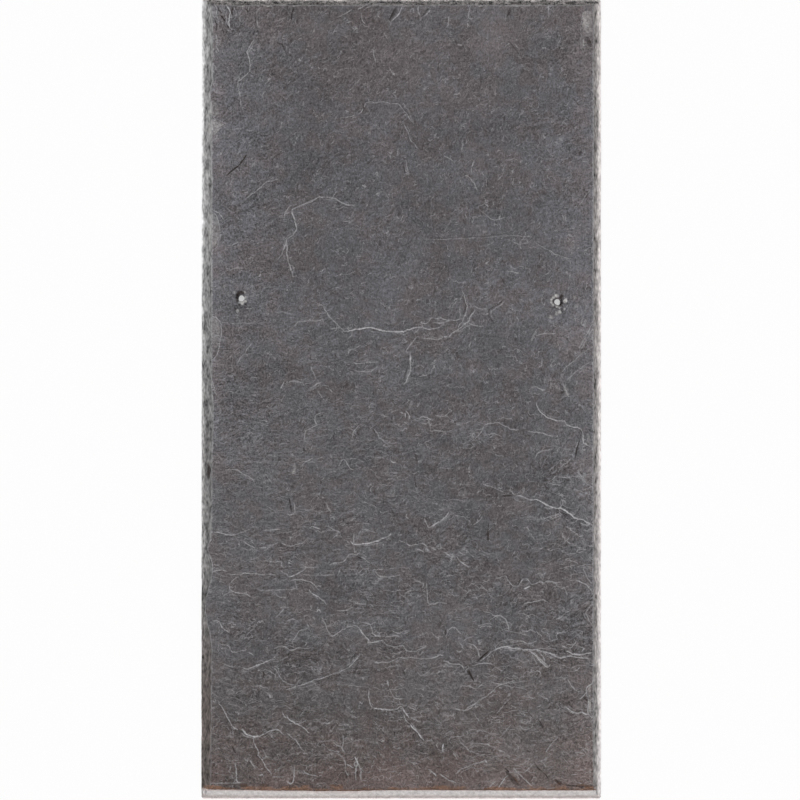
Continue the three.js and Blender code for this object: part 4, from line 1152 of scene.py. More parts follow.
def holeRing(hole):
    lobes, bulge = nailHoles["lobes"]
    turn = np.linspace(0, 2 * math.pi, nailHoles["points"], endpoint=False)
    radius = nailHoles["radius"] * (1 + bulge * np.sin(lobes * turn + hole["at"][0]))
    return fromSurvey(hole["at"]) + radius[:, None] * np.column_stack((np.cos(turn), np.sin(turn)))


def pitFall(plan):
    # how deep the spalls round the nail holes are, and the tone of those, with painted shade and light on
    # their walls, and of the flakes
    fall = np.zeros(len(plan))
    mark = patchTone(plan, flakes)
    for hole in (nailHoles["left"], nailHoles["right"]):
        for column, row, radius, depth in hole["pits"]:
            away = np.linalg.norm(plan - fromSurvey((column, row)), axis=1) / radius
            fall = np.maximum(fall, depth * np.clip(1 - away ** nailHoles["pitPower"], 0, 1))
        for column, row, radius, tone in hole["marks"]:
            away = np.linalg.norm(plan - fromSurvey((column, row)), axis=1) / radius
            strength = tone * np.clip(nailHoles["markEdge"] * (1 - away), 0, 1)
            mark = np.where(np.abs(strength) > np.abs(mark), strength, mark)
    return fall, mark


def jitteredGrid(step, margin, seed):
    random = np.random.default_rng(seed)
    jitter = meshing["jitter"]
    across = np.arange(margin - slate["width"] / 2, slate["width"] / 2 - margin, step)
    up = np.arange(margin - slate["length"] / 2, slate["length"] / 2 - margin, step * meshing["rowShare"])
    x, y = np.meshgrid(across, up)
    x[1::2] += step / 2
    grid = np.column_stack((x.ravel(), y.ravel()))
    return grid + random.uniform(-jitter, jitter, grid.shape) * step


def keepAway(points, others, gap):
    # the points that have no other point within about a gap
    cells = set(map(tuple, np.round(others / gap).astype(int)))
    return points[[tuple(cell) not in cells for cell in np.round(points / gap).astype(int)]]


def runsOf(row, kept):
    # the stretches of a row whose points are kept, as separate rows
    breaks = np.flatnonzero(np.diff(kept.astype(int))) + 1
    parts = zip(np.split(row, breaks), np.split(kept, breaks))
    return [part for part, keep in parts if keep[0] and len(part) > 1]


def within(sides, plan, front, margin):
    # which points lie further in than one of the fronts along each side
    inside = np.ones(len(plan), bool)
    for side in sides:
        at, deep = onSide(side, plan)
        inside &= deep > np.interp(at, side["stations"], side["insets"][front]) + margin
    return inside


def insideOutline(sides, plan, margin):
    return within(sides, plan, 0, margin)


def onFace(sides, plan, margin):
    return within(sides, plan, -1, margin)


def bevelRows(sides):
    # along each lamina its front and the foot of that, and a last row on the face just inside the arris
    rows = []
    for index, side in enumerate(sides):
        neighbours = (sides[index - 1], sides[(index + 1) % len(sides)])
        lines = [inset - back for inset in side["insets"][1:] for back in (meshing["riser"], 0.0)]
        seams = [np.full(len(side["stations"]), seam) for seam in side.get("seams", ())]
        for deep in seams + lines + [side["insets"][-1] + meshing["riser"]]:
            row = offSide(side, side["stations"], deep)
            shares = [onSide(other, row)[1] / other["bevel"] for other in neighbours]
            kept = deep / side["bevel"] <= np.minimum(*shares)
            if side["name"] == "tail" and deep is lines[-1]:
                kept = insideOutline(sides, row, meshing["tailMargin"])
            rows += runsOf(row, kept)
    return rows


def outlineLoop(sides):
    parts = []
    for side in sides:
        at = side["stations"]
        inner = (at > meshing["cornerCut"]) & (at < side["span"] - meshing["cornerCut"])
        parts.append(offSide(side, at, side["insets"][0])[inner])
    return np.vstack(parts)


def markRows(sides, madeScars):
    # the rows of points along scars and round flakes
    rows = []
    for scar in madeScars:
        if "side" in scar:
            continue  # an arris has its rows already
        for distance in edgeBand["rows"] if scar["drop"] > edgeBand["thin"] else edgeBand["thinRows"]:
            row = offsetRow(scar["line"], distance)
            rows += runsOf(row, insideOutline(sides, row, meshing["rowMargin"]))
    for _, *points in flakes + rustPatches:
        for inset in (0.0, flakeEdge):
            ring = flakeRing(points, inset)
            ring = np.vstack((ring, ring[:1]))
            rows += runsOf(ring, insideOutline(sides, ring, meshing["rowMargin"]))
    return rows


def triangulate(loops, rows, loose, merge):
    # constrained Delaunay mesh of closed loops, open rows and loose points, and which of these each point was
    points, edges = [], []
    count = 0
    for line in loops + rows:
        index = np.arange(len(line)) + count
        ahead = np.roll(index, -1)
        if len(points) >= len(loops):
            index, ahead = index[:-1], ahead[:-1]
        edges += list(zip(index.tolist(), ahead.tolist()))
        points.append(line)
        count += len(line)
    flat = [Vector(point) for point in np.vstack(points + [loose]).tolist()]
    plan, _, faces, origins, _, _ = delaunay_2d_cdt(flat, edges, [], 0, merge, True)
    return np.array([tuple(point) for point in plan]), np.array(faces), origins


def cutOut(sides, plan, triangles, loops, origins, margin):
    # the triangles inside the outline, the first loop, and outside the others, which are holes
    keep = insideOutline(sides, plan[triangles].mean(1), margin)
    start = len(loops[0])
    for loop in loops[1:]:
        ring = np.array([any(start <= o < start + len(loop) for o in ids) for ids in origins])
        keep &= ~ring[triangles].all(1)
        start += len(loop)
    return triangles[keep]


def faceUp(plan, triangles, sign):
    # the triangles with their front up, for a sign of 1, or down, for -1
    a, b, c = (plan[triangles[:, k]] for k in range(3))
    area = (b[:, 0] - a[:, 0]) * (c[:, 1] - a[:, 1]) - (b[:, 1] - a[:, 1]) * (c[:, 0] - a[:, 0])
    wrong = area * sign < 0
    triangles[wrong] = triangles[wrong][:, ::-1]
    return triangles


def slateTop(sides, madeScars):
    holes = [nailHoles["left"], nailHoles["right"]]
    rows = bevelRows(sides) + markRows(sides, madeScars)
    fill = jitteredGrid(meshing["fill"], meshing["fillMargin"], meshing["fillSeed"])
    fill = fill[onFace(sides, fill, meshing["faceMargin"])]
    near = []
    for hole in holes:
        middle = fromSurvey(hole["at"])
        dense = jitteredGrid(nailHoles["grain"], meshing["fillMargin"], nailHoles["grainSeed"])
        away = np.linalg.norm(dense - middle, axis=1)
        near.append(dense[(away < nailHoles["reach"]) & (away > nailHoles["radius"] * nailHoles["clear"])])
        away = np.linalg.norm(fill - middle, axis=1)
        fill = fill[away > nailHoles["reach"]]
    loose = np.vstack((keepAway(fill, np.vstack(rows), meshing["apart"]), *near))
    loops = [outlineLoop(sides)] + [holeRing(hole) for hole in holes]
    plan, triangles, origins = triangulate(loops, rows, loose, meshing["merge"])
    triangles = cutOut(sides, plan, triangles, loops, origins, 0.0)
    return plan, faceUp(plan, triangles, 1)


def rimOf(triangles):
    # for each rim point the next one, with the mesh on the left
    edges = np.vstack((triangles[:, [0, 1]], triangles[:, [1, 2]], triangles[:, [2, 0]]))
    pairs = set(map(tuple, edges.tolist()))
    return {a: b for a, b in pairs if (b, a) not in pairs}


def rimLoops(following):
    left = dict(following)
    loops = []
    while left:
        first = next(iter(left))
        loop = [first]
        step = left.pop(first)
        while step != first:
            loop.append(step)
            step = left.pop(step)
        loops.append(loop)
    return sorted(loops, key=len, reverse=True)


def slateBed(sides, rims):
    # the flat bed inside the same rims; place says which of its points each rim point has become
    bedFill = jitteredGrid(meshing["bed"], meshing["bedMargin"], meshing["bedSeed"])
    for ring in rims[1:]:
        away = np.linalg.norm(bedFill - ring.mean(0), axis=1)
        bedFill = bedFill[away > meshing["bedHole"] * nailHoles["radius"]]
    plan, triangles, origins = triangulate(rims, [], bedFill, meshing["bedMerge"])
    triangles = cutOut(sides, plan, triangles, rims, origins, -meshing["rimSlack"])
    place = {o: index for index, ids in enumerate(origins) for o in ids}
    return plan, faceUp(plan, triangles, -1), place


def wallsBetween(loops, place, topCount):
    # two triangles between every two points of a rim and the points of the bed below them
    walls = []
    count = 0
    for loop in loops:
        bed = [place[count + k] + topCount for k in range(len(loop))]
        for a, b, belowA, belowB in zip(loop, loop[1:] + loop[:1], bed, bed[1:] + bed[:1]):
            walls += [(b, a, belowA), (b, belowA, belowB)]
        count += len(loop)
    return np.array(walls)


def paintSide(side, plan):
    # how pale and how brown the chiselled stone is, between its lip and arris and along the side
    finish = bevelFinish[side["name"]]
    at, deep = onSide(side, plan)
    across = deep / np.interp(at, side["stations"], side["insets"][-1])
    head, tail = (np.interp(across, *zip(*finish[end])) for end in ("head", "tail"))
    share = paled(plan)
    brownTail, brownHead = finish["brown"]
    brown = brownHead + (brownTail - brownHead) * (1 - share) ** browning
    if "browner" in finish:
        brown = brown * np.interp(across, *zip(*finish["browner"]))
    return tail + (head - tail) * share, brown


def faceFields(sides, madeScars, plan):
    # the height of the upper side at each point, and what the stone's material reads there
    touching = 0.001  # a bevel that is so much higher than the face still counts
    beforeArris = 0.05  # mm outside the tail's arris where the rust begins
    top = slate["thickness"]
    fall, near, edgeTone, foot = scarField(madeScars, plan)
    pits, mark = pitFall(plan)
    height = np.minimum(top - np.minimum(fall, slate["deepestScar"]), top - pits)
    made = {"upright": 0.0, "grain": 1.0, "brown": 1.0, "dressed": 0.0, "cut": 0.0}
    for side in sides:
        bevel = dressedHeight(side, plan)
        lower = bevel <= height + touching
        height = np.where(lower, bevel, height)
        tone, tint = paintSide(side, plan)
        here = {"upright": abs(side["along"][1]), "grain": bevelFinish[side["name"]]["grain"], "brown": tint,
                "dressed": 1.0, "cut": tone}
        made = {name: np.where(lower, here[name], before) for name, before in made.items()}

    tail = sides[0]
    at, _ = onSide(tail, plan)
    pastArris = plan[:, 1] - (tail["start"][1] + np.interp(at, tail["stations"], tail["insets"][-1]))
    tone, tint = paintSide(tail, plan)
    paler = (pastArris < 0) & (tone > made["cut"])  # the tail's pale stone runs on through both corners
    made["cut"] = np.where(paler, tone, made["cut"])
    made["brown"] = np.where(paler, tint, made["brown"])
    free, full = rustFree
    rusted = np.clip(1 - pastArris / rustReach, 0, 1) * (pastArris > -beforeArris)
    rusted *= np.clip((free - made["cut"]) / (free - full), 0, 1)
    cloudPale, cloudWarm = cloudTone(plan)
    made.update({"relief": -(1 - made["dressed"]), "scarNear": near, "scarTone": edgeTone, "scarFoot": foot,
                 "mark": mark, "cloudPale": cloudPale, "cloudWarm": cloudWarm, "rusted": rusted,
                 "rustPatch": patchTone(plan, rustPatches)})
    return np.clip(height, slate["lowest"], top), made


def buildSlate():
    sides = makeSides()
    madeScars = makeScars(sides)
    plan, triangles = slateTop(sides, madeScars)
    print("face meshed:", len(plan), "points")
    height, fields = faceFields(sides, madeScars, plan)
    print("heights set")

    loops = rimLoops(rimOf(triangles))
    bedPlan, bedTriangles, place = slateBed(sides, [plan[loop] for loop in loops])
    walls = wallsBetween(loops, place, len(plan))
    print("bed and walls:", len(bedTriangles), len(walls))

    rimPoints = [place[k] for k in range(sum(map(len, loops)))]
    onRim, inHole = np.zeros((2, len(bedPlan)), bool)
    onRim[rimPoints] = True
    inHole[rimPoints[len(loops[0]):]] = True
    bedFields = {  # what the material reads on the bed, where it isn't 0
        "relief": np.where(onRim, 0.0, 1.0),
        "scarNear": edgeBand["far"],
        # the nail holes' walls darken down to the bed: painted shade
        "mark": np.where(inHole, slate["holeWallShade"], 0.0),
        "grain": 1.0,
        "brown": 1.0,
        "dressed": np.where(onRim, 1.0, 0.0),
        "cut": np.where(onRim, slate["wallTone"], 0.0),
    }
    upperSide = np.column_stack((plan, height))
    bedSide = np.column_stack((bedPlan, np.zeros(len(bedPlan))))
    points = np.vstack((upperSide, bedSide)) * mm
    faces = np.vstack((triangles, walls, bedTriangles + len(plan)))
    mesh = bpy.data.meshes.new("slateSheet")
    mesh.from_pydata(points.tolist(), [], faces.tolist())
    for name, values in fields.items():
        below = np.broadcast_to(bedFields.get(name, 0.0), len(bedPlan))
        both = np.concatenate((values, below)).astype(np.float32)
        mesh.attributes.new(name, "FLOAT", "POINT").data.foreach_set("value", both)
    mesh.validate()
    sheet = bpy.data.objects.new("slateSheet", mesh)
    bpy.context.scene.collection.objects.link(sheet)
    return sheet


riven = {  # the cleavage relief of face and bed, in metres
    "Relief depth": 0.00030,
    "Grain length": 0.055,
    "Grain width": 0.021,
    "Laminae": 9.0,
    "Front share": 0.22,
    "Ripple depth": 0.00008,
    "Seed": 4.0,
}
rivenNoises = {"cleavage": (1.0, 3.5, 0.46), "ripple": (1.0, 2.0, 0.6)}  # scale, detail, roughness
rippleSteps = (110.0, 240.0, 0.0)  # ripples in a metre, across and along


def cleavage(graph, place, given):
    # the cloud whose levels are the laminae
    squeeze = {0: 1 / given["Grain length"], 1: 1 / given["Grain width"]}
    scale = graph.node("ShaderNodeCombineXYZ", {}, squeeze)
    shift = graph.node("ShaderNodeCombineXYZ", {}, {0: given["Seed"], 1: given["Seed"]})
    spot = graph.vectors("ADD", graph.vectors("MULTIPLY", place, scale), shift)
    return graph.noise(spot, *rivenNoises["cleavage"]) * given["Laminae"]


def rivenTree():
    # moves the face down, and the bed up, by the steps of the laminae and their ripples
    tree = bpy.data.node_groups.new("rivenRelief", "GeometryNodeTree")
    tree.interface.new_socket("Geometry", in_out="OUTPUT", socket_type="NodeSocketGeometry")
    tree.interface.new_socket("Geometry", in_out="INPUT", socket_type="NodeSocketGeometry")
    names = {}
    for name, value in riven.items():
        socket = tree.interface.new_socket(name, in_out="INPUT", socket_type="NodeSocketFloat")
        socket.default_value = value
        names[name] = socket.identifier
    stoneSocket = tree.interface.new_socket("Stone", in_out="INPUT", socket_type="NodeSocketMaterial")
    names["Stone"] = stoneSocket.identifier
    graph = Graph(tree)
    entry = tree.nodes.new("NodeGroupInput")
    given = {socket.name: Wire(graph, socket) for socket in entry.outputs if socket.name}
    place = graph.node("GeometryNodeInputPosition")
    relief = graph.node("GeometryNodeInputNamedAttribute", {"data_type": "FLOAT"}, {"Name": "relief"},
                        output="Attribute")
    cloud = cleavage(graph, place, given)
    part = graph.maths("FRACT", cloud)
    level = (cloud - part + graph.ramp(part, 1 - given["Front share"], 1.0)) / given["Laminae"]
    ripple = graph.noise(graph.vectors("MULTIPLY", place, rippleSteps), *rivenNoises["ripple"])
    depth = (1 - level) * given["Relief depth"] + ripple * given["Ripple depth"]
    offset = graph.node("ShaderNodeCombineXYZ", {}, {2: depth * relief})
    moved = graph.node("GeometryNodeSetPosition", {}, {"Geometry": given["Geometry"], "Offset": offset})
    real = graph.node("GeometryNodeRealizeInstances", {}, {"Geometry": moved})
    coated = graph.node("GeometryNodeSetMaterial", {}, {"Geometry": real, "Material": given["Stone"]})
    leave = tree.nodes.new("NodeGroupOutput")
    tree.links.new(coated.socket, leave.inputs[0])
    return tree, names


def rive(sheet, material):
    tree, names = rivenTree()
    modifier = sheet.modifiers.new("riven", "NODES")
    modifier.node_group = tree
    for name, value in riven.items():
        modifier[names[name]] = value
    modifier[names["Stone"]] = material
    depsgraph = bpy.context.evaluated_depsgraph_get()
    evaluated = sheet.evaluated_get(depsgraph)
    mesh = bpy.data.meshes.new_from_object(evaluated, preserve_all_data_layers=True, depsgraph=depsgraph)
    sheet.modifiers.remove(modifier)
    sheet.data = mesh
    mesh.name = "slateSheet"
    mesh.shade_smooth()
    mesh.set_sharp_from_angle(angle=math.radians(slate["softEdge"]))


stone = {
    "cool": (0.0935, 0.0915, 0.0985, 1),
    "warm": (0.1030, 0.0905, 0.0940, 1),
    # tints from tail to head: warm brown where the tail weathered, cool across the middle
    "tints": ((0.0, (1.21, 1.02, 0.93, 1)), (0.03, (1.135, 0.975, 0.885, 1)), (0.09, (1.045, 0.965, 0.91, 1)),
              (0.2, (0.99, 0.98, 0.965, 1)), (0.62, (0.985, 1.0, 1.015, 1)), (0.84, (0.985, 1.0, 1.02, 1)),
              (1.0, (1.02, 0.99, 0.98, 1))),
    "pale": (0.445, 0.437, 0.452, 1),
    "dustAndHighlight": (0.60, 0.585, 0.57, 1),
    # dark: the painted shade at the feet of steps, in cracks, pits and nail holes, and the darkest marks
    "dark": (0.020, 0.014, 0.013, 1),
    "rust": (0.165, 0.091, 0.060, 1),
    "rustDark": (0.078, 0.038, 0.021, 1),
    "rustGrain": 0.8,
    # each band of mottling: its scale, its stretch along x, its strength, its relief in mm
    "grain": ((1040, 1.35, 0.80, 0.06), (600, 1.28, 0.74, 0.09)),
    "cloud": ((170, 0.8, 0.12, 0.06), (80, 0.75, 0.27, 0.03), (30, 0.8, 0.34, 0.0), (10, 1.0, 0.30, 0.0)),
    # the same for the sides, with the stretch along the side; level sides have it shorter
    "edgeGrain": ((1300, 0.35, 1.1, 0.07), (600, 0.28, 1.1, 0.12), (260, 0.30, 0.5, 0.16),
                  (110, 0.3, 0.2, 0.10)),
    "levelShorter": 2.2,
    # streaks that flow with the cleavage: scale, stretch along the flow, strength, relief in mm
    "streaks": ((980, 0.66, 0.32, 0.09), (560, 0.48, 0.30, 0.10), (300, 0.28, 0.17, 0.06),
                (140, 0.22, 0.08, 0.03)),
    "crest": (0.50, 0.74),  # heights of a cloud between which a streak rises out of it
    "crestMiddle": 0.16,
    "crestGround": 0.8,  # how much of the cloud shows beside its streaks
    "flowScale": 48.0,
    "flowSwing": 0.012,
    "flowShake": (420.0, 0.0022),  # scale and reach
    "flowLean": (0.0, 0.65),  # radians that the flow leans from level, at the tail and at the head
    # each family of veins: scale, detail, stretch along x, levels, width in mm, strength, relief in mm
    "veins": ((42, 3.0, 0.36, 7, 0.30, 1.0, 0.04), (90, 2.0, 0.36, 5, 0.27, 0.75, 0.03)),
    "veinPatches": 30.0,
    # short squiggles all over, in the same terms
    "squiggles": ((130, 2.5, 0.5, 5, 0.30, 0.62, 0.08), (210, 2.0, 0.5, 4, 0.26, 0.50, 0.08)),
    "squigglePatches": 240.0,
    "veinKinks": (380.0, 0.0018),  # scale and reach of what shakes the veins out of smooth curves
    "veinRoughness": 0.55,
    "veinProbe": 0.0003,  # m over which the slope of a vein's cloud is measured
    "veinFlat": 0.02,  # least slope, so that a level spot isn't all vein
    "veinCore": 0.2,  # share of a vein's width that is fully pale
    "patchStretch": (0.6, 0.4),  # stretch of the patches, and what a family's stretch of 1 adds
    "patchRoughness": (3.0, 0.62),  # their detail and roughness
    "bedShift": 0.37,  # slides the pattern on the bed, so that it isn't the face's
    "bedTop": 0.35,  # mm up to which a point belongs to the bed
    "warmLess": (0.35, 0.2),  # how far pale clouds and pale streaks keep the stone from being warm
    # what each thing adds to the level of the face
    "upperPaler": 0.08,
    "dip": (0.10, 0.035),  # how much less of it a soft dip has, and how far left that lies, in m
    "lowerPaler": (1.1, 0.05),  # how much paler the tail is for each metre to the right, less this
    "lineTone": 0.66,
    "pitShadeTone": 0.5,
    # how dark the painted shade at the foot of a scar's step is
    "footShadeTone": 0.5,
    "brownGreen": 0.07,  # what a brownness of 1 takes from green and from blue
    "brownBlue": 0.088,
    "sideGrain": (1.2, 0.9),  # strength of the sides' grain, less this much for a reflectance of 1
    "wobble": (0.6, 0.5),  # how far small and large clouds shake a scar's edge, in mm
    "edgeWidth": (0.50, 0.54),  # width of a scar's edge, and what a tone of 1 adds
    # the cracks' dark colour is painted shade
    "edge": (0.82, 0.165),  # strength of its core and of its halo, pale
    "crackShade": (0.95, 0.4),  # the same, dark
    "darkLeast": 0.88,  # least strength of a dark mark, whatever the speckle
    "rustShake": (1.9, 1.7),  # how far clouds shake the edge of the rust and of its dark core
    "rustTone": (0.8, 0.75, 0.9),  # strength of the rust, of its dark core and of what crept up
    "lineRelief": 0.04,
    "edgeRelief": 0.12,
    "gloss": 0.25,
}
noises = {  # scale, detail, roughness
    "busy": (26.0, 2.0), "hue": (110.0, 2.0, 0.6), "hueBroad": (40.0, 1.0), "pits": (210.0, 1.0),
    "wobble": (900.0, 1.0), "wobbleBroad": (260.0, 1.0), "broken": (300.0, 3.0, 0.6),
    "speck": (520.0, 3.0, 0.65), "rust": (150.0, 3.0, 0.6), "rustDark": (230.0, 3.0, 0.6),
    "crept": (420.0, 3.0, 0.6), "veinBroken": (210.0, 2.0),
}
stretches = {"pits": (1.3, 0.8, 0.0), "hueShift": (0.5, 0, 0), "rust": (0.45, 1.0, 0.0)}
shares = {
    # how a share follows a value: over which values it runs, and from and to what, where not from 0 to 1;
    # places across or up the slate are in metres from its middle
    "lean": (-0.15, 0.15),
    "busy": (0.35, 0.65, 0.6, 1.3), "busyUp": (0.10, -0.15, 0.62, 1.0),
    "livelyLeft": (-0.055, -0.110, 0.0, 0.50), "livelyLeftUp": (-0.09, 0.01),
    "livelyUp": (0.08, -0.20, 0.95, 0.88), "livelyRight": (0.080, 0.115, 0.0, 0.33),
    "veinedUp": (0.10, -0.12, 0.20, 0.85), "veinedAcross": (-0.10, 0.06, 0.62, 1.0),
    "upper": (-0.06, 0.06), "lower": (-0.13, -0.20), "dip": (0.055, 0.0),
    "middle": (0.03, 0.10, 0.888, 0.922),
    "leftLight": (-0.106, -0.1175, 0.0, 0.10), "upperLeftLight": (-0.106, -0.117, 0.0, 0.18),
    "rightLight": (0.100, 0.117, 0.0, 0.22),
    "hue": (0.35, 0.65), "pits": (0.735, 0.78),
    "veinShown": (0.46, 0.60), "veinBroken": (0.32, 0.66, 0.15, 1.1), "veinSteep": (0.05, 0.12),
    "core": (0.60, 0.10), "halo": (1.10, 0.15), "broken": (0.36, 0.60, 0.62, 1.12),
    "speck": (0.3, 0.7, 0.45, 1.45),
    "rust": (0.55, 1.0), "rustStart": (0.0, 0.3), "rustDark": (0.85, 1.10), "crept": (0.35, 0.6, 0.35, 1.1),
    "rough": (-0.4, 0.4, 0.62, 0.76),
}


def mottling(g, place, bands, upright=False, level=1.0):
    # a sum of clouds: how pale each spot is around 0, and its relief in mm
    pale, relief = 0.0, 0.0
    for scale, stretch, strength, rise in bands:
        squeeze = (1.0, stretch, 1.0) if upright else (stretch * level, 1.0, 1.0)
        cloud = g.noise(g.vectors("MULTIPLY", place, squeeze), scale, 0.0) - 0.5
        pale = pale + cloud * strength
        relief = relief + cloud * rise
    return pale, relief


def flowing(g, place, across, along):
    # the place with its level lines turned and swayed, for streaks that follow the cleavage
    lean = g.ramp(along, *shares["lean"], *stone["flowLean"])
    sine, cosine = g.maths("SINE", lean), g.maths("COSINE", lean)
    turned = g.node("ShaderNodeCombineXYZ", {}, {0: across * cosine + along * sine,
                                                 1: along * cosine - across * sine})
    shakeScale, shakeReach = stone["flowShake"]
    swing = g.push(place, stone["flowScale"], 2.0, stone["flowSwing"])
    jolt = g.push(place, shakeScale, 1.0, shakeReach)
    return g.vectors("ADD", g.vectors("ADD", turned, swing), jolt)


def streaking(g, flow):
    # pale streaks on a quieter ground: how pale each spot is around 0, and its relief in mm
    pale, relief = 0.0, 0.0
    apart = 0.17  # shift from one band to the next
    for index, (scale, stretch, strength, rise) in enumerate(stone["streaks"]):
        spot = g.vectors("ADD", g.vectors("MULTIPLY", flow, (stretch, 1.0, 0.0)), (apart * index, 0.0, 0.0))
        cloud = g.noise(spot, scale, 0.0)
        crest = g.ramp(cloud, *stone["crest"]) - stone["crestMiddle"] + (cloud - 0.5) * stone["crestGround"]
        pale = pale + crest * strength
        relief = relief + crest * rise
    return pale, relief


def veining(g, place, families, patches):
    # lines of even width along the levels of a cloud, broken into stretches, and the steps that they make
    probe, core = stone["veinProbe"], stone["veinCore"]
    kinkScale, kinkReach = stone["veinKinks"]
    shaken = g.vectors("ADD", place, g.push(place, kinkScale, 1.0, kinkReach))
    patchStretch, patchWider = stone["patchStretch"]
    apart, patchApart, patchShift = 0.7, 0.3, 0.2  # steps from one family to the next, and a start
    lines, steps = 0.0, 0.0
    for index, (scale, detail, stretch, levels, width, strength, rise) in enumerate(families):
        spot = g.vectors("ADD", g.vectors("MULTIPLY", shaken, (stretch, 1.0, 0.0)), (apart * index, 0.0, 0.0))
        here, right, above = (g.noise(g.vectors("ADD", spot, shift), scale, detail, stone["veinRoughness"])
                              for shift in ((0, 0, 0), (probe, 0, 0), (0, probe, 0)))
        slopeX, slopeY = (right - here) * stretch, above - here
        slope = g.maths("SQRT", slopeX * slopeX + slopeY * slopeY) * (levels / probe) + stone["veinFlat"]
        cloud = here * levels
        part = g.maths("FRACT", cloud)
        away = (part - 0.5) / slope / mm
        squeezed = g.vectors("MULTIPLY", place, (patchStretch + patchWider * stretch, 1.0, 0.0))
        patchy = g.vectors("ADD", squeezed, (patchApart * index, patchShift, 0.0))
        shown = g.ramp(g.noise(patchy, patches, *stone["patchRoughness"]), *shares["veinShown"])
        broken = g.ramp(g.noise(patchy, *noises["veinBroken"]), *shares["veinBroken"])
        shown = shown * g.ramp(slope, *shares["veinSteep"])
        lines = g.maths("MAXIMUM", lines, g.ramp(abs(away), width, width * core) * shown * broken * strength)
        steps = steps + (cloud - part + g.ramp(away, -width, width)) * rise
    return lines, steps


def faceLevel(g, across, along):
    # how pale the riven face is as a whole: paler towards the head, the sides and the tail's right end
    dipTone, dipLeft = stone["dip"]
    slant, less = stone["lowerPaler"]
    upper = g.ramp(along, *shares["upper"])
    lower = g.ramp(along, *shares["lower"])
    dip = g.ramp(abs(across + dipLeft), *shares["dip"])
    middle = g.ramp(abs(across), *shares["middle"])
    level = g.attribute("cloudPale") + middle + upper * (stone["upperPaler"] - dip * dipTone)
    level = level + lower * (across * slant - less)
    leftLight = g.ramp(across, *shares["leftLight"]) + upper * g.ramp(across, *shares["upperLeftLight"])
    return level + (leftLight + g.ramp(across, *shares["rightLight"]))


def rivenFace(g, place, across, along):
    # the face: its colour, how pale its grain makes each spot around 0, and its relief in mm
    finePale, fineRelief = mottling(g, place, stone["grain"])
    slowPale, slowRelief = mottling(g, place, stone["cloud"])
    flow = flowing(g, place, across, along)
    streakPale, streakRelief = streaking(g, flow)
    busy = g.ramp(g.noise(place, *noises["busy"]), *shares["busy"]) * g.ramp(along, *shares["busyUp"])
    streakPale, streakRelief = streakPale * busy, streakRelief * busy
    leftLively = g.ramp(across, *shares["livelyLeft"]) * g.ramp(along, *shares["livelyLeftUp"])
    lively = g.ramp(along, *shares["livelyUp"]) + leftLively + g.ramp(across, *shares["livelyRight"])
    veined = g.ramp(along, *shares["veinedUp"]) * g.ramp(across, *shares["veinedAcross"])
    veins, veinSteps = veining(g, place, stone["veins"], stone["veinPatches"])
    squiggles, ripples = veining(g, flow, stone["squiggles"], stone["squigglePatches"])
    lines = g.maths("MAXIMUM", veins * veined, squiggles)
    steps = veinSteps * veined + ripples
    pale = finePale + slowPale + streakPale

    broadPlace = g.vectors("ADD", place, stretches["hueShift"])
    hue = g.noise(place, *noises["hue"]) * 0.5 + g.noise(broadPlace, *noises["hueBroad"]) * 0.5
    byCloud, byStreak = stone["warmLess"]
    hue = hue - slowPale * byCloud - streakPale * byStreak
    patches = g.ramp(hue, *shares["hue"]) + g.attribute("cloudWarm")
    colour = g.blend(patches, stone["cool"], stone["warm"])
    tint = g.node("ShaderNodeValToRGB", {"stops": stone["tints"]}, {0: along * 2.0 + 0.5})
    colour = g.blend(1.0, colour, tint, "MULTIPLY")
    colour = g.blend(1.0, colour, faceLevel(g, across, along) + pale * lively, "MULTIPLY")
    # dark specks that paint the shade in tiny pits
    pits = g.noise(g.vectors("MULTIPLY", place, stretches["pits"]), *noises["pits"])
    colour = g.blend(g.ramp(pits, *shares["pits"]) * stone["pitShadeTone"], colour, stone["dark"])
    colour = g.blend(lines * stone["lineTone"], colour, stone["pale"])
    relief = (fineRelief + slowRelief + streakRelief + steps) * lively + lines * stone["lineRelief"]
    return colour, pale, relief


def chiselledSide(g, place):
    # the dressed sides: their colour and their relief in mm
    upright, cut, brown = g.attribute("upright"), g.attribute("cut"), g.attribute("brown")
    strength, less = stone["sideGrain"]
    sidePale, sideRelief = mottling(g, place, stone["edgeGrain"], upright=True)
    flatPale, flatRelief = mottling(g, place, stone["edgeGrain"], level=stone["levelShorter"])
    pale = flatPale + (sidePale - flatPale) * upright
    relief = flatRelief + (sideRelief - flatRelief) * upright
    tone = cut * (1.0 + pale * g.attribute("grain") * (strength - cut * less))
    colour = g.node("ShaderNodeCombineColor", {}, {0: tone, 1: tone * (1.0 - stone["brownGreen"] * brown),
                                                   2: tone * (1.0 - stone["brownBlue"] * brown)})
    return colour, relief


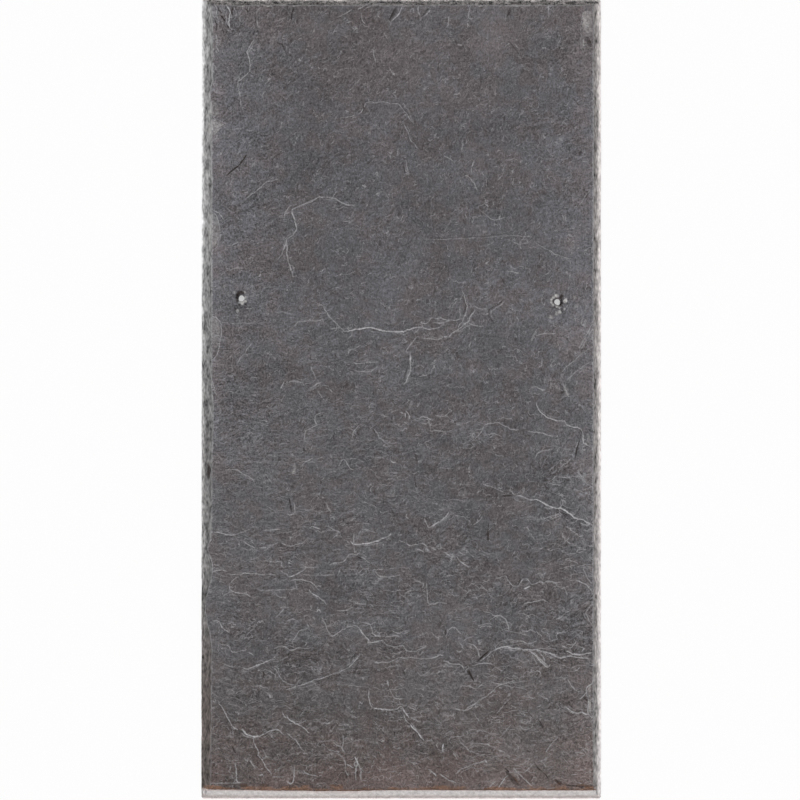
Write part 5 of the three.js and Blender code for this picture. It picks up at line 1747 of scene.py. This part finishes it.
def scarred(g, place, colour):
    # scars, cracks and marks over the colour, with shade painted at the feet of steps, in cracks and in the
    # nail holes, and light painted on the holes' lit walls; and how strong the pale edge of a scar is
    near, tone, mark = g.attribute("scarNear"), g.attribute("scarTone"), g.attribute("mark")
    fine, broad = stone["wobble"]
    width, wider = stone["edgeWidth"]
    small, large = g.noise(place, *noises["wobble"]), g.noise(place, *noises["wobbleBroad"])
    apart = (near + ((small - 0.5) * fine + (large - 0.5) * broad)) / (width + abs(tone) * wider)
    core = g.ramp(apart, *shares["core"])
    halo = g.ramp(apart, *shares["halo"])
    broken = g.ramp(g.noise(place, *noises["broken"]), *shares["broken"])
    edge, crackShade = ((core * inner + halo * outer) * broken for inner, outer in (stone["edge"], stone["crackShade"]))
    edge = edge * g.maths("MAXIMUM", tone, 0.0)
    # painted shade at the foot of each scar's step
    colour = g.blend(g.attribute("scarFoot") * stone["footShadeTone"], colour, stone["dark"])
    colour = g.blend(edge, colour, stone["pale"])
    # painted shade in the cracks
    colour = g.blend(crackShade * g.maths("MAXIMUM", 0 - tone, 0.0), colour, stone["dark"])
    speck = g.ramp(g.noise(place, *noises["speck"]), *shares["speck"])
    # pale marks: pale flakes, and painted light on the lit walls of the nail holes' spalls
    colour = g.blend(g.maths("MAXIMUM", mark, 0.0) * speck, colour, stone["dustAndHighlight"])
    # dark marks: painted shade in the nail holes and in the head's chips, and dark flakes
    darkShare = g.maths("MAXIMUM", 0 - mark, 0.0) * g.maths("MAXIMUM", speck, stone["darkLeast"])
    return g.blend(darkShare, colour, stone["dark"]), edge


def rusty(g, place, colour, pale):
    # the rust at the tail, with a dark core along the arris, and where it has crept up the face
    rusted = g.attribute("rusted")
    edgeShake, coreShake = stone["rustShake"]
    tone, darkTone, creptTone = stone["rustTone"]
    spread = g.vectors("MULTIPLY", place, stretches["rust"])
    ragged = rusted + (g.noise(spread, *noises["rust"]) - 0.5) * edgeShake
    rustColour = g.blend(1.0, stone["rust"], pale * stone["rustGrain"] + 1.0, "MULTIPLY")
    shown = g.ramp(ragged, *shares["rust"]) * g.ramp(rusted, *shares["rustStart"]) * tone
    colour = g.blend(shown, colour, rustColour)
    core = g.ramp(rusted + (g.noise(spread, *noises["rustDark"]) - 0.5) * coreShake, *shares["rustDark"])
    colour = g.blend(core * darkTone, colour, stone["rustDark"])
    crept = g.attribute("rustPatch") * g.ramp(g.noise(spread, *noises["crept"]), *shares["crept"])
    colour = g.blend(g.maths("MAXIMUM", crept, 0.0) * creptTone, colour, rustColour)
    return g.blend(g.maths("MAXIMUM", 0 - crept, 0.0), colour, stone["rustDark"])


def slateMaterial():
    material = bpy.data.materials.new("rivenSlate")
    material.use_nodes = True
    material.node_tree.nodes.clear()
    g = Graph(material.node_tree)
    solid = g.node("ShaderNodeTexCoord", output="Object")
    across, along, up = (g.node("ShaderNodeSeparateXYZ", {}, {0: solid}, output=axis) for axis in "XYZ")
    under = g.node("ShaderNodeCombineXYZ", {}, {0: (up < stone["bedTop"] * mm) * stone["bedShift"]})
    place = g.vectors("ADD", solid, under)
    dressed = g.attribute("dressed")

    faceColour, pale, faceRelief = rivenFace(g, place, across, along)
    sideColour, sideRelief = chiselledSide(g, place)
    colour = g.blend(dressed, faceColour, sideColour)
    colour, edge = scarred(g, place, colour)
    colour = rusty(g, place, colour, pale)

    height = faceRelief + (sideRelief - faceRelief) * dressed + edge * stone["edgeRelief"]
    bump = g.node("ShaderNodeBump", {}, {"Strength": 1.0, "Distance": mm, "Height": height})
    rough = g.ramp(pale, *shares["rough"])
    values = {"Base Color": colour, "Roughness": rough, "Normal": bump, "Specular IOR Level": stone["gloss"]}
    surface = g.node("ShaderNodeBsdfPrincipled", {}, values)
    g.node("ShaderNodeOutputMaterial", {}, {"Surface": surface})
    return material


stage = {
    "white": 0.9,
    "worldLevel": 0.45,
    # sheets of floor: width, length, height in metres and how much of the white shows; the small one lies in
    # the slate's shade, shows less white so that the shade there is painted darker, and is seen through the
    # nail holes
    "sheets": {"floor": (6.0, 6.0, -0.00002, 0.85), "shadedFloor": (0.22, 0.48, -0.00001, 0.50)},
}
camera = {"distance": 1.5, "viewWidth": 0.5003, "above": (-0.00075, -0.00063), "focus": 0.0004,
          "sensor": 36.0, "near": 0.01}
lamps = {  # where each soft lamp shines from, its spread in degrees, its strength
    "tailKey": {"from": (-0.5, -1.3, 1.1), "spread": 30.0, "strength": 2.28},
    "headFill": {"from": (0.7, 1.2, 1.6), "spread": 50.0, "strength": 0.42},
}


def seenShare(graph):
    # 1 for rays that show the background by eye, by gloss or through glass
    rays = graph.tree.nodes.new("ShaderNodeLightPath")
    camera, glossy, through = (Wire(graph, rays.outputs["Is %s Ray" % kind])
                               for kind in ("Camera", "Glossy", "Transmission"))
    return graph.maths("MINIMUM", camera + glossy + through, 1.0)


def layFloor(name, width, length, height, shown):
    mesh = bpy.data.meshes.new(name)
    corners = [(x * width / 2, y * length / 2, 0) for x, y in ((-1, -1), (1, -1), (1, 1), (-1, 1))]
    mesh.from_pydata(corners, [], [(0, 1, 2, 3)])
    floor = bpy.data.objects.new(name, mesh)
    floor.location.z = height
    bpy.context.scene.collection.objects.link(floor)
    material = bpy.data.materials.new(name + "White")
    material.use_nodes = True
    material.node_tree.nodes.clear()
    g = Graph(material.node_tree)
    white = stage["white"]
    paint = g.node("ShaderNodeBsdfDiffuse", {}, {"Color": (white, white, white, 1)})
    glow = g.node("ShaderNodeEmission", {}, {"Color": (1, 1, 1, 1), "Strength": 1.0})
    mixed = g.node("ShaderNodeMixShader", {}, {0: seenShare(g) * shown, 1: paint, 2: glow})
    g.node("ShaderNodeOutputMaterial", {}, {"Surface": mixed})
    mesh.materials.append(material)


def makeWorld():
    world = bpy.data.worlds.new("softRoom")
    bpy.context.scene.world = world
    world.use_nodes = True
    world.node_tree.nodes.clear()
    g = Graph(world.node_tree)
    strength = g.ramp(seenShare(g), 0.0, 1.0, stage["worldLevel"], 1.0)
    glow = g.node("ShaderNodeBackground", {}, {"Color": (1, 1, 1, 1), "Strength": strength})
    g.node("ShaderNodeOutputWorld", {}, {"Surface": glow})


def hangLamp(name, lamp):
    light = bpy.data.lights.new(name, "SUN")
    light.angle = math.radians(lamp["spread"])
    light.energy = lamp["strength"]
    sun = bpy.data.objects.new(name, light)
    sun.location = lamp["from"]
    sun.rotation_euler = (-Vector(lamp["from"])).to_track_quat("-Z", "Y").to_euler()
    bpy.context.scene.collection.objects.link(sun)


def setCamera():
    lens = bpy.data.cameras.new("camera")
    lens.sensor_width = camera["sensor"]
    lens.lens = camera["sensor"] * camera["distance"] / camera["viewWidth"]
    lens.clip_start = camera["near"]
    shot = bpy.data.objects.new("camera", lens)
    shot.location = (*camera["above"], camera["focus"] + camera["distance"])
    bpy.context.scene.collection.objects.link(shot)
    bpy.context.scene.camera = shot
    bpy.context.scene.view_settings.view_transform = "Standard"


for name, floorSheet in stage["sheets"].items():
    layFloor(name, *floorSheet)
makeWorld()
for name, lamp in lamps.items():
    hangLamp(name, lamp)
setCamera()
print("stage set")
sheet = buildSlate()
rive(sheet, slateMaterial())
print("slate riven:", len(sheet.data.polygons), "triangles")
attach(sheet, "root")
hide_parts("slate_tile")
